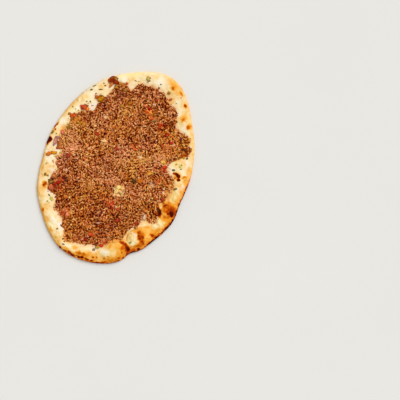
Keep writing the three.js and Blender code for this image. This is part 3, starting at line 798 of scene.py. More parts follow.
def mince_relief(x, y):
    """Fused curls of mince: height in millimetres, a slowly changing number, and nearness to a crest (0 to 1)."""
    wx = x + 1.3 * fbm(x / 4.4, y / 4.4, 73, 2)
    wy = y + 1.3 * fbm(x / 4.4, y / 4.4, 74, 2)
    crest = (0.48 * ridge(0.83 * wx + 0.56 * wy, 0.83 * wy - 0.56 * wx, 3.6, 75)
             + 0.38 * ridge(0.32 * wx - 0.95 * wy, 0.95 * wx + 0.32 * wy, 2.6, 76)
             + 0.14 * ridge(0.98 * wx + 0.17 * wy, 0.98 * wy - 0.17 * wx, 1.7, 77))
    who = 0.5 + 0.5 * noise(wx / 3.6, wy / 3.6, 71)
    h = 2.0 * crest + 0.6 * fbm(x / 9.0, y / 9.0, 78, 3) + 0.16 * fbm(x / 0.9, y / 0.9, 79, 2)
    return h - 1.15, who, crest


def mince_surface(x, y):
    t, q, w = across(x, y)
    depth, f = mince_depth(x, y)
    h, who, crest = mince_relief(x, y)
    thick = mix(MINCE_EDGE, MINCE_THICKNESS, smooth((1 - f) / 0.9)) - 0.35
    edge = np.sqrt(np.clip(depth / 1.9, 0, 1))
    z = bread_top(x, y, t, q, w) + (thick + h) * edge - 0.45 * (1 - np.clip(depth / 0.5, 0, 1))
    return z, h, who, crest


def rest_height(x, y):
    """The surface on which a loose grain lies, mince or dough."""
    x, y = np.asarray(x, float), np.asarray(y, float)
    t, q, w = across(x, y)
    depth, _ = mince_depth(x, y)
    return np.where(depth > 0, mince_surface(x, y)[0], bread_top(x, y, t, q, w))


MINCE_TONES = [(0.0, (74, 0, 0)), (0.25, (122, 22, 0)), (0.50, (176, 81, 13)), (0.75, (230, 132, 56)),
               (1.0, (255, 183, 113))]


def by_tone(tone, stops):
    at = [s[0] for s in stops]
    cols = np.array([linear(*s[1]) for s in stops])
    return np.stack([np.interp(tone, at, cols[:, k]) for k in range(3)], -1)


def mince_colour(x, y, tone, who):
    """Linear colour of the cooked mince; who is a grain's own number."""
    c = by_tone(np.clip(tone, 0, 1), MINCE_TONES)
    hue = 1.1 * fbm(x / 20, y / 20, 81, 3) + cast_of(MINCE_HUES, x, y)
    near = fbm(x / 5.2, y / 5.2, 87, 2)
    warm = step(0.0, 0.55, hue)[..., None]
    cool = step(0.0, 0.55, -hue)[..., None]
    olive = step(0.15, 0.60, near)[..., None]
    mauve = step(0.15, 0.60, -near)[..., None]
    c = c * (1 + warm * np.array([0.05, 0.04, -0.24]) + cool * np.array([-0.04, -0.05, 0.22])
             + olive * np.array([-0.05, 0.02, -0.12]) + mauve * np.array([0.02, -0.07, 0.08]))
    r = np.modf(who * 61.7)[0]
    c = c * (1 + 0.04 * (r - 0.5)[..., None] * np.array([1.0, -1.0, 1.0]))
    grey = c.mean(-1, keepdims=True) / 0.14
    for px, py, radius, colour, strength in PATCHES:
        mx, my = at_px(px, py)
        d = np.hypot(x - mx, y - my) / (radius * PIXEL) + 0.45 * fbm(x / 2.6, y / 2.6, 82, 2)
        k = (strength * (1 - step(0.45, 1.25, d)))[..., None]
        c = c * (1 - k) + k * linear(*colour) * (0.55 + 0.45 * np.clip(grey, 0.2, 1.6))
    return np.clip(c, 0.002, 0.95)


# Broad lighter and darker parts of the mince: x, y, half length, half width (pixels), turn, lift in tone.
CASTS = [
    # middle
    (118.0, 168.0, 26, 16, 10, 0.05), (100.0, 140.0, 20, 12, -20, 0.05), (126.0, 197.0, 18, 10, 0, 0.07), (113.0, 172.0, 14, 8, 0, -0.06),
    # head
    (136.0, 92.0, 16, 12, 0, -0.06), (147.0, 88.0, 9, 8, 0, -0.17), (104.0, 98.0, 14, 10, 30, -0.08), (161.0, 101.0, 9, 8, 0, -0.05),
    (76.0, 120.0, 10, 6, 30, 0.05), (141.0, 107.0, 16, 8, -10, 0.09), (116.0, 117.0, 12, 8, 0, 0.07),
    # right
    (150.0, 134.0, 18, 14, 20, -0.06), (148.0, 143.0, 9, 8, 0, -0.15), (163.0, 145.0, 8, 8, 0, 0.18), (158.0, 158.0, 13, 8, 0, 0.15),
    (161.0, 180.0, 8, 11, 0, 0.05),
    # left
    (67.0, 140.0, 10, 15, 0, 0.18), (66.0, 173.0, 9, 20, 20, -0.08), (79.0, 184.0, 9, 16, 0, -0.05), (64.0, 203.0, 8, 10, 0, -0.15),
    # foot
    (92.0, 226.0, 28, 12, -8, -0.09), (86.0, 216.0, 14, 8, 0, -0.09), (133.0, 207.0, 13, 11, 30, -0.08), (120.0, 213.0, 9, 7, 0, -0.10),
    (92.0, 239.0, 11, 6, 0, -0.06), (120.0, 228.0, 10, 7, 0, 0.05), (104.0, 200.0, 9, 8, 0, -0.05),
]


# Parts of the mince with a warmer (above 0) or a greyer, pinker cast: x, y, half length, half width (pixels), turn, amount.
MINCE_HUES = [
    (110.0, 218.0, 34, 14, 0, -0.45), (170.0, 134.0, 12, 28, 0, 0.45), (120.0, 108.0, 9, 10, 0, -0.40),
]


def mince_cast(x, y):
    """Lighter and darker parts of the topping."""
    return 0.20 * fbm(x / 17, y / 17, 1264, 2) + 0.20 * fbm(x / 6.5, y / 6.5, 3142, 2) + 1.4 * cast_of(CASTS, x, y)


def build_mince():
    n = 300
    g = np.linspace(-1, 1, n + 1)
    A, B = np.meshgrid(g, g, indexing="ij")
    wide = np.abs(A) >= np.abs(B)
    f = np.where(wide, np.abs(A), np.abs(B)).ravel()
    t = np.where(wide, math.pi / 4 * B / np.where(A == 0, 1, A) + np.where(A < 0, math.pi, 0),
                 math.pi / 2 - math.pi / 4 * A / np.where(B == 0, 1, B) + np.where(B < 0, math.pi, 0)).ravel()
    # finer towards the margin, where the form is steepest
    f = 0.94 * f + 0.06 * (1 - (1 - f) ** 2)
    e = mince_edge(t)
    x, y = placed(f * e * np.cos(t), f * e * np.sin(t))
    z, h, who, crest = mince_surface(x, y)
    i, j = np.meshgrid(np.arange(n), np.arange(n), indexing="ij")
    at = lambda p, q: (p * (n + 1) + q).ravel()
    top = np.stack([at(i, j), at(i + 1, j), at(i + 1, j + 1), at(i, j + 1)], 1)
    # the loop round the margin, anticlockwise
    k = np.arange(n)
    loop = np.concatenate([at(k, 0 * k), at(0 * k + n, k), at(n - k, 0 * k + n), at(0 * k, n - k)])
    te, ee = t[loop], e[loop]
    V = [np.stack([x, y, z], 1)]
    count = len(x)
    rings = [loop]
    for share in (0.985, 0.93, 0.62, 0.30):
        rx, ry = placed(share * ee * np.cos(te), share * ee * np.sin(te))
        tt, q, w = across(rx, ry)
        rz = bread_top(rx, ry, tt, q, w) + (0.06 if share < 0.95 else -0.35)
        V.append(np.stack([rx, ry, rz], 1))
        rings.append(count + np.arange(len(loop)))
        count += len(loop)
    V.append(np.array([[*placed(0.0, 0.0), DOUGH_MIDDLE + 0.06]]))
    verts = np.concatenate(V)
    ring = []
    for a, b in zip(rings, rings[1:]):
        ring.append(np.stack([a, b, np.roll(b, -1), np.roll(a, -1)], 1))
    fan = np.stack([rings[-1], np.full(len(loop), count), np.roll(rings[-1], -1)], 1)
    ob = mesh_object("mince", verts, [top, np.concatenate(ring), fan])
    low = len(verts) - len(x)
    # painted shade and light: darker in the hollows between the curls, lighter on their crests
    tone = 0.54 + 2.10 * (crest - 0.47) + 0.16 * fbm(x / 1.1, y / 1.1, 83, 2) + mince_cast(x, y)
    rgb = mince_colour(x, y, tone, who)
    rgb = np.concatenate([rgb, np.tile(linear(120, 56, 22), (low, 1))])
    colour_layer(ob, "tint", rgb)
    loop_v = np.zeros(len(ob.data.loops), np.int32)
    ob.data.loops.foreach_get("vertex_index", loop_v)
    start = np.zeros(len(ob.data.polygons), np.int32)
    size = np.zeros(len(ob.data.polygons), np.int32)
    ob.data.polygons.foreach_get("loop_start", start)
    ob.data.polygons.foreach_get("loop_total", size)
    under = np.repeat(loop_v[start] >= len(x), size) | np.repeat(loop_v[start + 1] >= len(x), size)
    lx, ly = verts[loop_v, 0], verts[loop_v, 1]
    span = max(np.ptp(verts[:, 0]), np.ptp(verts[:, 1])) * 1.02
    u = np.where(under, 0.80 + (lx + 90) / 1100, 0.01 + (lx - verts[:, 0].min()) / span)
    v = np.where(under, 0.02 + (ly + 130) / 1500, 0.01 + (ly - verts[:, 1].min()) / span)
    bake_map(ob, np.stack([u, v], 1))
    return ob


def mince_material():
    n = Nodes("cooked_mince")
    shade = n.mix(n.remap(n.noise(900, 5, 0.65), 0.30, 0.70), (0.82, 0.70, 0.42), (1.18, 1.30, 1.58))
    # painted glints: small whitish bright specks on the mince
    speck = n.mix(n.remap(n.noise(1700, 2, 0.5), 0.63, 0.72), (1.0, 1.0, 1.0), (1.20, 1.34, 1.62))
    colour = n.mix(1.0, n.attribute("tint", True), n.mix(1.0, shade, speck, "MULTIPLY"), "MULTIPLY")
    rough = n.math("MULTIPLY_ADD", n.noise(380, 3), -0.30, 0.62)
    normal = n.bump(n.math("ADD", n.noise(1300, 5, 0.65), n.math("MULTIPLY", n.voronoi(900), 0.6)), 0.6, 0.0006)
    return n.finish(colour, rough, normal, Specular_IOR_Level=0.03, Specular_Tint=(1.0, 0.72, 0.45))


mince = build_mince()
MINCE_STUFF = mince_material()
mince.data.materials.append(MINCE_STUFF)
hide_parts("mince_topping")
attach(mince, "root")

# ------------------------------------------------------------------ loose grains, bits and flecks


def ball(level):
    bm = bmesh.new()
    bmesh.ops.create_icosphere(bm, subdivisions=level, radius=1.0)
    bm.verts.ensure_lookup_table()
    v = np.array([p.co[:] for p in bm.verts])
    f = np.array([[p.index for p in face.verts] for face in bm.faces])
    bm.free()
    return v / np.linalg.norm(v, axis=1, keepdims=True), f


def cut_shape(D, cuts, seed, blunt=12.0):
    """Distance to the surface of a ball cut by some flat faces, each lump its own, with blunted edges."""
    rng = np.random.default_rng(seed)
    n = len(D)
    total = np.ones(D.shape[:2])
    for _ in range(cuts):
        N = rng.normal(0, 1, (n, 3))
        N /= np.linalg.norm(N, axis=1, keepdims=True)
        H = rng.uniform(0.60, 0.92, n)
        total += (np.clip((D * N[:, None, :]).sum(-1), 0, None) / H[:, None]) ** blunt
    return total ** (-1 / blunt)


def lumps(name, level, at, half, turn, tilt, rough, box, seed, tints, second=None, bend=None, painted_side_shade=0.0,
          cuts=0, wrinkle=0.0, browned=0.0, mottle=0.0, fade=(1.0, 1.9, 3.2), depth=(1.0, 1.0, 1.0)):
    """Many uneven lumps joined in one mesh. at, half: (n, 3) in millimetres; turn (n,); tints (n, 3) linear."""
    at, half, turn = np.asarray(at, float), np.asarray(half, float), np.asarray(turn, float)
    n = len(at)
    d, f = ball(level)
    m = len(d)
    D = np.broadcast_to(d, (n, m, 3)).copy()
    own = np.arange(n)[:, None] * 7.31
    swell = 1 + rough * (fbm(D[..., 0] * 1.3 + own, D[..., 1] * 1.3, seed, 2, D[..., 2] * 1.3 + own)
                         + 0.45 * noise(D[..., 0] * 3.4, D[..., 1] * 3.4 + own, seed + 5, D[..., 2] * 3.4))
    if cuts:
        swell = swell * cut_shape(D, cuts, seed + 3) * 1.12
        P = D * swell[..., None]
    else:
        P = np.sign(D) * np.abs(D) ** box
        P = P / np.maximum(np.linalg.norm(P, axis=-1, keepdims=True), 1e-6) ** 0.75 * swell[..., None]
    if wrinkle:
        fold = 1 - np.abs(fbm(D[..., 0] * 1.9 + own, D[..., 1] * 1.9, seed + 21, 2, D[..., 2] * 1.9 + own)) * 2.4
        P = P * (1 + wrinkle * np.clip(fold, -0.5, 1)[..., None])
    P = P * half[:, None, :]
    if bend is not None:
        k = np.asarray(bend, float)[:, None]
        P[..., 1] += k * (P[..., 0] ** 2) / half[:, None, 0]
    rng = np.random.default_rng(seed)
    ax, ay = rng.normal(0, 1, (2, n)) * tilt
    ca, sa = np.cos(ax)[:, None], np.sin(ax)[:, None]
    P = np.stack([P[..., 0], P[..., 1] * ca - P[..., 2] * sa, P[..., 1] * sa + P[..., 2] * ca], -1)
    cb, sb = np.cos(ay)[:, None], np.sin(ay)[:, None]
    P = np.stack([P[..., 0] * cb + P[..., 2] * sb, P[..., 1], -P[..., 0] * sb + P[..., 2] * cb], -1)
    ct, st = np.cos(turn)[:, None], np.sin(turn)[:, None]
    P = np.stack([P[..., 0] * ct - P[..., 1] * st, P[..., 0] * st + P[..., 1] * ct, P[..., 2]], -1)
    P += at[:, None, :]
    faces = (f[None] + (np.arange(n) * m)[:, None, None]).reshape(-1, 3)
    ob = mesh_object(name, P.reshape(-1, 3), faces)
    tints = np.asarray(tints, float)
    shade = 1 + 0.18 * noise(D[..., 0] * 2 + own, D[..., 1] * 2, seed + 9, D[..., 2] * 2)
    C = tints[:, None, :] * np.ones((n, m, 1))
    if second is not None:
        k = step(-0.30, 0.45, 0.25 * D[..., 0] + 1.0 * fbm(D[..., 0] * 2.3 + own, D[..., 1] * 2.3, seed + 11, 3, D[..., 2] * 2.3))
        C = C * (1 - k[..., None]) + np.asarray(second, float)[:, None, :] * k[..., None]
    if browned:
        k = step(0.10, 0.50, fbm(D[..., 0] * 2.1 + own, D[..., 1] * 2.1 + 5, seed + 13, 3, D[..., 2] * 2.1))
        C = C * (1 - browned * k[..., None] * np.array([0.62, 0.80, 0.90]))
    # painted shade: darker and redder down the sides, where a grain meets its neighbours
    low = 1 - painted_side_shade * (1 - step(-0.40, 0.80, D[..., 2]))
    if mottle:
        shade = shade * (1 + mottle * fbm(P[..., 0] / 0.9, P[..., 1] / 0.9, seed + 17, 2, P[..., 2] / 0.9))
    C = C * np.stack([np.clip(shade, 0.2, 3) ** d * low ** k for d, k in zip(depth, fade)], -1)
    colour_layer(ob, "tint", np.clip(C, 0, 0.98).reshape(-1, 3))
    side = math.ceil(math.sqrt(n))
    cell = np.stack([np.arange(n) % side, np.arange(n) // side], 1)[:, None, :]
    uv = (cell + 0.5 + D[..., :2] * 0.40) / side
    bake_map(ob, uv.reshape(-1, 2)[faces.ravel()])
    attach(ob, "root")
    return ob


# Vegetable pieces of the model: node, material, slot, then its lumps: x, y, half length, half width (pixels), turn, colours.
# The pale pink and orange lumps among the tomato pieces are painted highlights on the wet skin.
PIECES = [
    ("tomato_rim_left", "TOMATO", "tomato", [
        (83.6, 106.9, 2.6, 2.5, 10, (192, 64, 34), (204, 88, 56)), (87.0, 108.6, 1.7, 1.9, 0, (240, 144, 70), (214, 98, 44)),
        (82.0, 108.4, 1.3, 1.2, 0, (150, 50, 28), (186, 80, 50)), (86.0, 105.3, 1.7, 0.9, -35, (116, 64, 26), (150, 80, 34)),
        (85.8, 107.6, 1.5, 0.7, 40, (120, 26, 8), (150, 44, 14)), (84.6, 109.2, 1.2, 0.8, 0, (216, 130, 100), (190, 80, 50))]),
    ("tomato_margin_left", "TOMATO", "tomato", [
        (72.6, 115.9, 2.6, 2.1, 40, (214, 96, 34), (192, 66, 16)), (74.0, 114.4, 1.6, 1.2, 20, (140, 42, 18), (180, 70, 30))]),
    ("tomato_upper", "TOMATO", "tomato", [
        (148.6, 108.9, 2.1, 1.6, 0, (170, 20, 0), (136, 8, 4)), (147.2, 107.4, 1.4, 1.0, 20, (180, 48, 34), (150, 20, 10)),
        (144.8, 108.0, 1.5, 1.1, 0, (100, 16, 0), (130, 30, 8)), (146.0, 105.4, 1.9, 1.1, 20, (228, 144, 106), (206, 110, 74)),
        (147.0, 111.4, 2.2, 1.2, -10, (206, 84, 24), (180, 50, 10)), (150.6, 112.6, 2.4, 1.1, -30, (238, 154, 88), (226, 130, 56))]),
    ("tomato_middle", "TOMATO", "tomato", [
        (133.4, 147.4, 1.9, 1.5, 0, (214, 98, 64), (190, 70, 40)), (135.8, 146.0, 1.6, 1.2, 20, (178, 56, 24), (206, 90, 56)),
        (135.4, 149.2, 1.6, 1.3, -20, (204, 84, 50), (216, 120, 80)), (132.4, 145.8, 1.3, 1.0, 40, (220, 128, 88), (196, 84, 48))]),
    ("tomato_right", "TOMATO", "tomato", [
        (164.6, 167.6, 1.7, 2.0, 0, (208, 60, 34), (176, 30, 10)), (162.2, 169.4, 1.7, 1.5, 0, (210, 106, 76), (196, 80, 50)),
        (165.8, 171.4, 1.6, 1.3, -20, (180, 60, 30), (206, 100, 70)), (166.8, 163.6, 2.6, 1.2, -25, (204, 102, 18), (160, 66, 6)),
        (162.8, 162.2, 2.1, 1.6, 0, (250, 192, 106), (240, 170, 84))]),
    ("tomato_right_low", "TOMATO", "tomato", [
        (159.0, 181.2, 2.0, 1.5, 10, (192, 66, 34), (170, 44, 16)), (157.0, 183.4, 1.8, 1.3, 20, (208, 104, 74), (190, 80, 50)),
        (160.8, 179.4, 1.4, 1.1, 40, (176, 60, 22), (200, 90, 50)), (155.6, 181.4, 1.3, 1.1, 0, (214, 124, 90), (200, 90, 56))]),
    ("tomato_low_left", "TOMATO", "tomato", [
        (65.0, 209.8, 2.8, 2.4, 20, (216, 130, 100), (190, 88, 62)), (62.4, 213.2, 2.3, 1.9, 0, (180, 58, 32), (208, 104, 74)),
        (65.0, 215.0, 2.2, 1.6, 20, (164, 44, 16), (190, 80, 50)), (66.4, 218.2, 2.4, 1.1, 48, (146, 70, 26), (120, 44, 14))]),
    ("tomato_left", "TOMATO", "tomato", [
        (57.4, 182.8, 3.4, 1.7, 20, (178, 32, 10), (106, 8, 0)), (50.6, 181.6, 2.5, 2.3, 30, (156, 108, 60), (100, 54, 22)),
        (51.6, 187.6, 2.7, 2.1, -20, (204, 108, 84), (158, 44, 26)), (54.2, 176.4, 2.6, 2.0, 0, (204, 126, 92), (178, 90, 58)),
        (53.0, 189.4, 1.5, 1.0, -20, (140, 26, 8), (172, 64, 34)), (56.0, 187.0, 1.6, 1.2, 0, (208, 126, 98), (180, 86, 58)),
        (49.6, 189.0, 1.4, 1.1, 10, (190, 84, 58), (150, 44, 24)), (50.4, 183.8, 1.3, 0.8, 0, (70, 26, 6), (110, 50, 20)),
        (53.8, 185.0, 2.0, 1.3, 20, (108, 12, 2), (150, 30, 10)), (54.6, 181.2, 1.6, 1.4, 0, (216, 130, 98), (190, 80, 50)),
        (60.0, 179.4, 2.0, 1.5, 40, (206, 100, 66), (180, 60, 34))]),
    ("tomato_low", "TOMATO", "tomato", [
        (111.0, 204.2, 1.8, 1.6, 0, (208, 92, 64), (186, 60, 34)), (108.4, 206.0, 1.8, 1.4, 20, (178, 48, 26), (204, 90, 60)),
        (111.2, 208.0, 2.6, 1.2, 0, (126, 14, 2), (166, 44, 16)), (113.4, 206.0, 1.4, 1.2, 0, (222, 134, 102), (200, 90, 60)),
        (107.6, 203.4, 1.4, 1.2, 0, (192, 80, 50), (170, 50, 24))]),
    ("tomato_lower_margin", "TOMATO", "tomato", [
        (136.2, 223.6, 2.0, 1.6, 0, (162, 52, 18), (112, 20, 0)), (134.2, 225.2, 1.6, 1.3, 20, (194, 92, 62), (160, 60, 30)),
        (138.4, 222.8, 1.6, 1.1, 20, (208, 122, 84), (180, 80, 46))]),
    ("tomato_foot", "TOMATO", "tomato", [
        (103.0, 239.8, 3.6, 0.9, 33, (230, 154, 116), (208, 122, 86)), (104.2, 242.4, 3.4, 1.2, 35, (198, 106, 72), (172, 60, 30)),
        (100.6, 245.2, 2.2, 1.3, 40, (198, 54, 22), (150, 30, 10)), (97.6, 247.0, 2.0, 1.2, 10, (198, 160, 82), (170, 110, 44)),
        (99.6, 242.6, 1.6, 1.2, 20, (176, 60, 30), (206, 110, 76))]),
    ("tomato_head", "TOMATO", "tomato", [
        (160.6, 125.2, 1.7, 1.5, 0, (204, 62, 22), (180, 40, 10)), (159.0, 127.4, 1.5, 1.2, 20, (172, 50, 20), (200, 90, 50)),
        (162.2, 127.6, 1.3, 1.1, 0, (208, 114, 74), (190, 80, 40))]),
    ("tomato_browned", "CHARRED", "browned_piece", [
        (111.2, 79.8, 2.5, 2.2, 20, (166, 66, 18), (122, 30, 4)), (115.2, 81.4, 2.8, 2.0, -12, (118, 22, 0), (156, 56, 12)),
        (113.0, 77.8, 1.9, 1.5, 30, (92, 18, 4), (140, 50, 16)), (116.2, 78.8, 1.7, 1.5, 0, (206, 146, 52), (130, 74, 22)),
        (112.0, 83.6, 2.1, 1.6, 20, (214, 122, 66), (180, 70, 30)), (110.6, 86.0, 1.4, 1.1, 30, (222, 140, 88), (200, 104, 56))]),
    ("tomato_charred", "CHARRED", "browned_piece", [
        (186.2, 150.6, 3.4, 1.3, -38, (92, 30, 4), (130, 60, 14)), (183.8, 152.6, 2.3, 1.9, 0, (200, 116, 64), (150, 70, 26)),
        (184.8, 155.6, 2.8, 1.5, 10, (218, 84, 20), (156, 36, 2)), (180.4, 151.6, 1.5, 1.5, 0, (136, 48, 14), (190, 90, 40)),
        (181.8, 149.8, 1.7, 1.1, 30, (104, 44, 14), (150, 84, 36))]),
    ("pepper_rim", "PEPPER", "pepper", [
        (97.2, 97.2, 1.9, 1.7, 20, (206, 112, 36), (172, 76, 20)), (99.9, 98.6, 2.8, 2.2, -18, (202, 142, 12), (160, 98, 12)),
        (103.0, 98.0, 2.7, 1.8, -36, (158, 92, 16), (192, 132, 30)), (101.4, 101.0, 2.1, 1.2, -20, (190, 136, 26), (140, 80, 18)),
        (104.8, 100.2, 1.7, 1.3, -50, (132, 62, 22), (104, 44, 14)), (101.6, 95.8, 2.4, 0.9, -14, (122, 80, 16), (156, 100, 30)),
        (98.8, 100.8, 1.2, 0.8, 0, (214, 160, 54), (180, 120, 30))]),
    ("pepper_strip_left", "PEPPER", "pepper", [
        (49.4, 153.4, 3.1, 1.6, 8, (224, 138, 52), (206, 108, 34)), (53.1, 152.6, 3.1, 1.3, 10, (208, 160, 22), (222, 152, 34)),
        (48.2, 154.6, 1.5, 1.0, 0, (214, 112, 26), (170, 70, 14))]),
    ("onion_left", "ONION", "onion", [
        (55.3, 141.0, 4.2, 1.3, 78, (208, 146, 134), (160, 108, 94)), (57.8, 137.2, 2.6, 1.2, 12, (156, 108, 88), (190, 140, 120)),
        (57.7, 142.0, 3.2, 0.8, 100, (146, 76, 32), (170, 96, 44)), (59.6, 143.6, 2.2, 1.7, 80, (212, 144, 72), (190, 110, 50)),
        (58.8, 147.0, 2.4, 1.6, 5, (190, 100, 42), (206, 124, 60)), (60.8, 140.2, 2.2, 1.2, -60, (156, 88, 38), (196, 130, 80)),
        (58.6, 139.8, 1.4, 1.2, 0, (226, 178, 140), (200, 140, 100))]),
    ("onion_low", "ONION", "onion", [
        (119.3, 187.4, 2.4, 1.9, 20, (255, 222, 150), (255, 206, 134)), (116.6, 191.4, 2.7, 1.6, 40, (255, 214, 144), (250, 196, 124)),
        (120.6, 191.8, 2.0, 1.4, -30, (255, 212, 142), (240, 176, 110)), (114.4, 194.6, 1.9, 1.3, 20, (255, 204, 152), (250, 180, 124)),
        (122.2, 188.6, 1.8, 1.2, 60, (252, 218, 140), (236, 186, 108)), (118.0, 195.4, 1.9, 1.1, 0, (244, 182, 118), (250, 196, 132))]),
]
def hexes(pitch, seed, jitter):
    rng = np.random.default_rng(seed)
    rows = np.arange(-132, 132, pitch * 0.866)
    cols = np.arange(-98, 98, pitch)
    X, Y = np.meshgrid(cols, rows)
    X = X + (np.arange(len(rows)) % 2 * pitch / 2)[:, None]
    P = np.stack([X.ravel(), Y.ravel()], 1)
    return P + rng.uniform(-jitter, jitter, P.shape) * pitch, rng


def climb(P, steps):
    """Moves the places up to the nearest crests of the mince, and gives the crests' directions there."""
    P = P.copy()
    for k in range(steps + 1):
        here = mince_relief(P[:, 0], P[:, 1])[2]
        slope = np.stack([mince_relief(P[:, 0] + 0.25, P[:, 1])[2] - here, mince_relief(P[:, 0], P[:, 1] + 0.25)[2] - here], 1)
        if k < steps:
            size = np.linalg.norm(slope, axis=1, keepdims=True) + 1e-6
            P = P + 0.32 * slope / size * np.clip(size / 0.03, 0, 1)
    # along the crest, the curve bends least: the direction in which the height changes least over half a millimetre
    turns = np.arange(6) * math.pi / 6
    fall = [np.abs(mince_relief(P[:, 0] + 0.7 * math.cos(a), P[:, 1] + 0.7 * math.sin(a))[2] - here)
            + np.abs(mince_relief(P[:, 0] - 0.7 * math.cos(a), P[:, 1] - 0.7 * math.sin(a))[2] - here) for a in turns]
    return P, turns[np.argmin(fall, axis=0)], here


def grains(name, pitch, small, big, level, seed, sunk, over, strays, long, painted_side_shade, bend):
    P, rng = hexes(pitch, seed, 0.30)
    depth, _ = mince_depth(P[:, 0], P[:, 1])
    P = P[(depth > over) & (rng.uniform(0, 1, len(P)) < 0.95)]
    P, along, crest = climb(P, 3)
    # a few that rolled onto the rim
    t = rng.uniform(0, 2 * math.pi, strays)
    r = mince_edge(t) + rng.exponential(1.6, strays) + 0.3
    Q = np.stack(placed(r * np.cos(t), r * np.sin(t)), 1)
    P = np.concatenate([P, Q])
    turn = np.concatenate([along + rng.normal(0, 0.35, len(along)), rng.uniform(0, 6.283, strays)])
    crest = np.concatenate([crest, np.full(strays, 0.6)])
    x, y = P.T
    n = len(x)
    size = small + (big - small) * rng.beta(1.6, 2.6, n)
    half = np.stack([size * rng.uniform(1.1, long, n), size * rng.uniform(0.75, 1.0, n), size * rng.uniform(0.65, 0.9, n)], 1)
    z = rest_height(x, y) + half[:, 2] * rng.uniform(sunk[0], sunk[1], n)
    z[n - strays:] += 0.55 * half[n - strays:, 2]
    who = rng.uniform(0, 1, n)
    # painted light: grains nearer a crest are lighter
    tone = 0.76 + 0.90 * (crest - 0.70) + 0.24 * (who - 0.5) + mince_cast(x, y)
    # a few grains lighter, as painted highlights of oil; some darker at random
    tone = tone + 0.12 * (rng.uniform(0, 1, n) < 0.06) - 0.24 * (rng.uniform(0, 1, n) < 0.12)
    tint = mince_colour(x, y, tone, np.modf(who * 7.77)[0])
    ob = lumps(name, level, np.stack([x, y, z], 1), half, turn, 0.30, 0.54, 0.88, seed, tint,
               bend=rng.normal(0, bend, n), painted_side_shade=painted_side_shade, mottle=0.30, fade=(1.0, 1.7, 2.9), depth=(0.75, 1.35, 2.5))
    ob.data.materials.append(MINCE_STUFF)
    return ob


grains("mince_crumbs_fine", 3.00, 0.50, 0.95, 1, 301, (-0.3, 0.3), -0.6, 60, 1.4, 0.72, 0.30)
grains("mince_crumbs_coarse", 4.00, 0.95, 1.50, 2, 302, (-0.3, 0.35), 0.2, 9, 1.8, 0.74, 0.40)


def moist_material(name, gloss, grain, colour_noise, stretch=0.5):
    n = Nodes(name)
    cloud = n.math("SUBTRACT", n.noise(grain, 4, 0.6, 0.4), 0.5)
    colour = n.mix(1.0, n.attribute("tint", True), n.math("MULTIPLY_ADD", cloud, colour_noise, 1.0), "MULTIPLY")
    rough = n.math("MULTIPLY_ADD", n.noise(grain * 0.7, 3), 0.30, gloss)
    normal = n.bump(n.noise(grain * 1.6, 4, 0.6), stretch, 0.0005)
    return n.finish(colour, rough, normal, Specular_IOR_Level=0.14, Specular_Tint=(1.0, 0.74, 0.50))


TOMATO = moist_material("cooked_tomato", 0.22, 520, 2.2)
PEPPER = moist_material("cooked_pepper", 0.24, 460, 1.2)
ONION = moist_material("cooked_onion", 0.26, 460, 1.3, 0.4)
HERB = moist_material("dried_herb", 0.55, 900, 0.8)
CHARRED = moist_material("browned_vegetable", 0.34, 700, 1.2, 0.8)

STUFF = {"TOMATO": TOMATO, "PEPPER": PEPPER, "ONION": ONION, "CHARRED": CHARRED}
LIFT = {"TOMATO": (1.14, 1.22, 0.72), "PEPPER": (1.12, 1.04, 0.70), "ONION": (1.08, 1.02, 0.88), "CHARRED": (1.18, 1.25, 0.80)}
for k, (node, stuff, slot, parts) in enumerate(PIECES):
    place = np.array([p[:5] for p in parts], float)
    x, y = at_px(place[:, 0], place[:, 1])
    a, b = place[:, 2] * PIXEL, place[:, 3] * PIXEL
    c = 0.25 + 0.70 * b
    deep = mince_depth(x, y)[0] > 0
    z = rest_height(x, y) + np.where(deep, 0.80 if node == "onion_low" else 0.30, 0.25) * c
    rng = np.random.default_rng(700 + k)
    ob = lumps(node + "_look", 4, np.stack([x, y, z], 1), np.stack([a, b, c], 1),
               np.radians(place[:, 4]) + TURN, 0.10, 0.42, 0.72, 400 + 13 * k,
               [linear(*p[5]) * LIFT[stuff] for p in parts], second=[linear(*p[6]) * LIFT[stuff] for p in parts],
               bend=rng.normal(0, 0.12, len(parts)),
               painted_side_shade=0.45, cuts=0 if slot == "onion" else 7, wrinkle=0.24, browned=0.60 if stuff == "CHARRED" else 0.0 if node == "onion_low" else 0.30)
    ob.data.materials.append(STUFF[stuff])
    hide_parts(node)


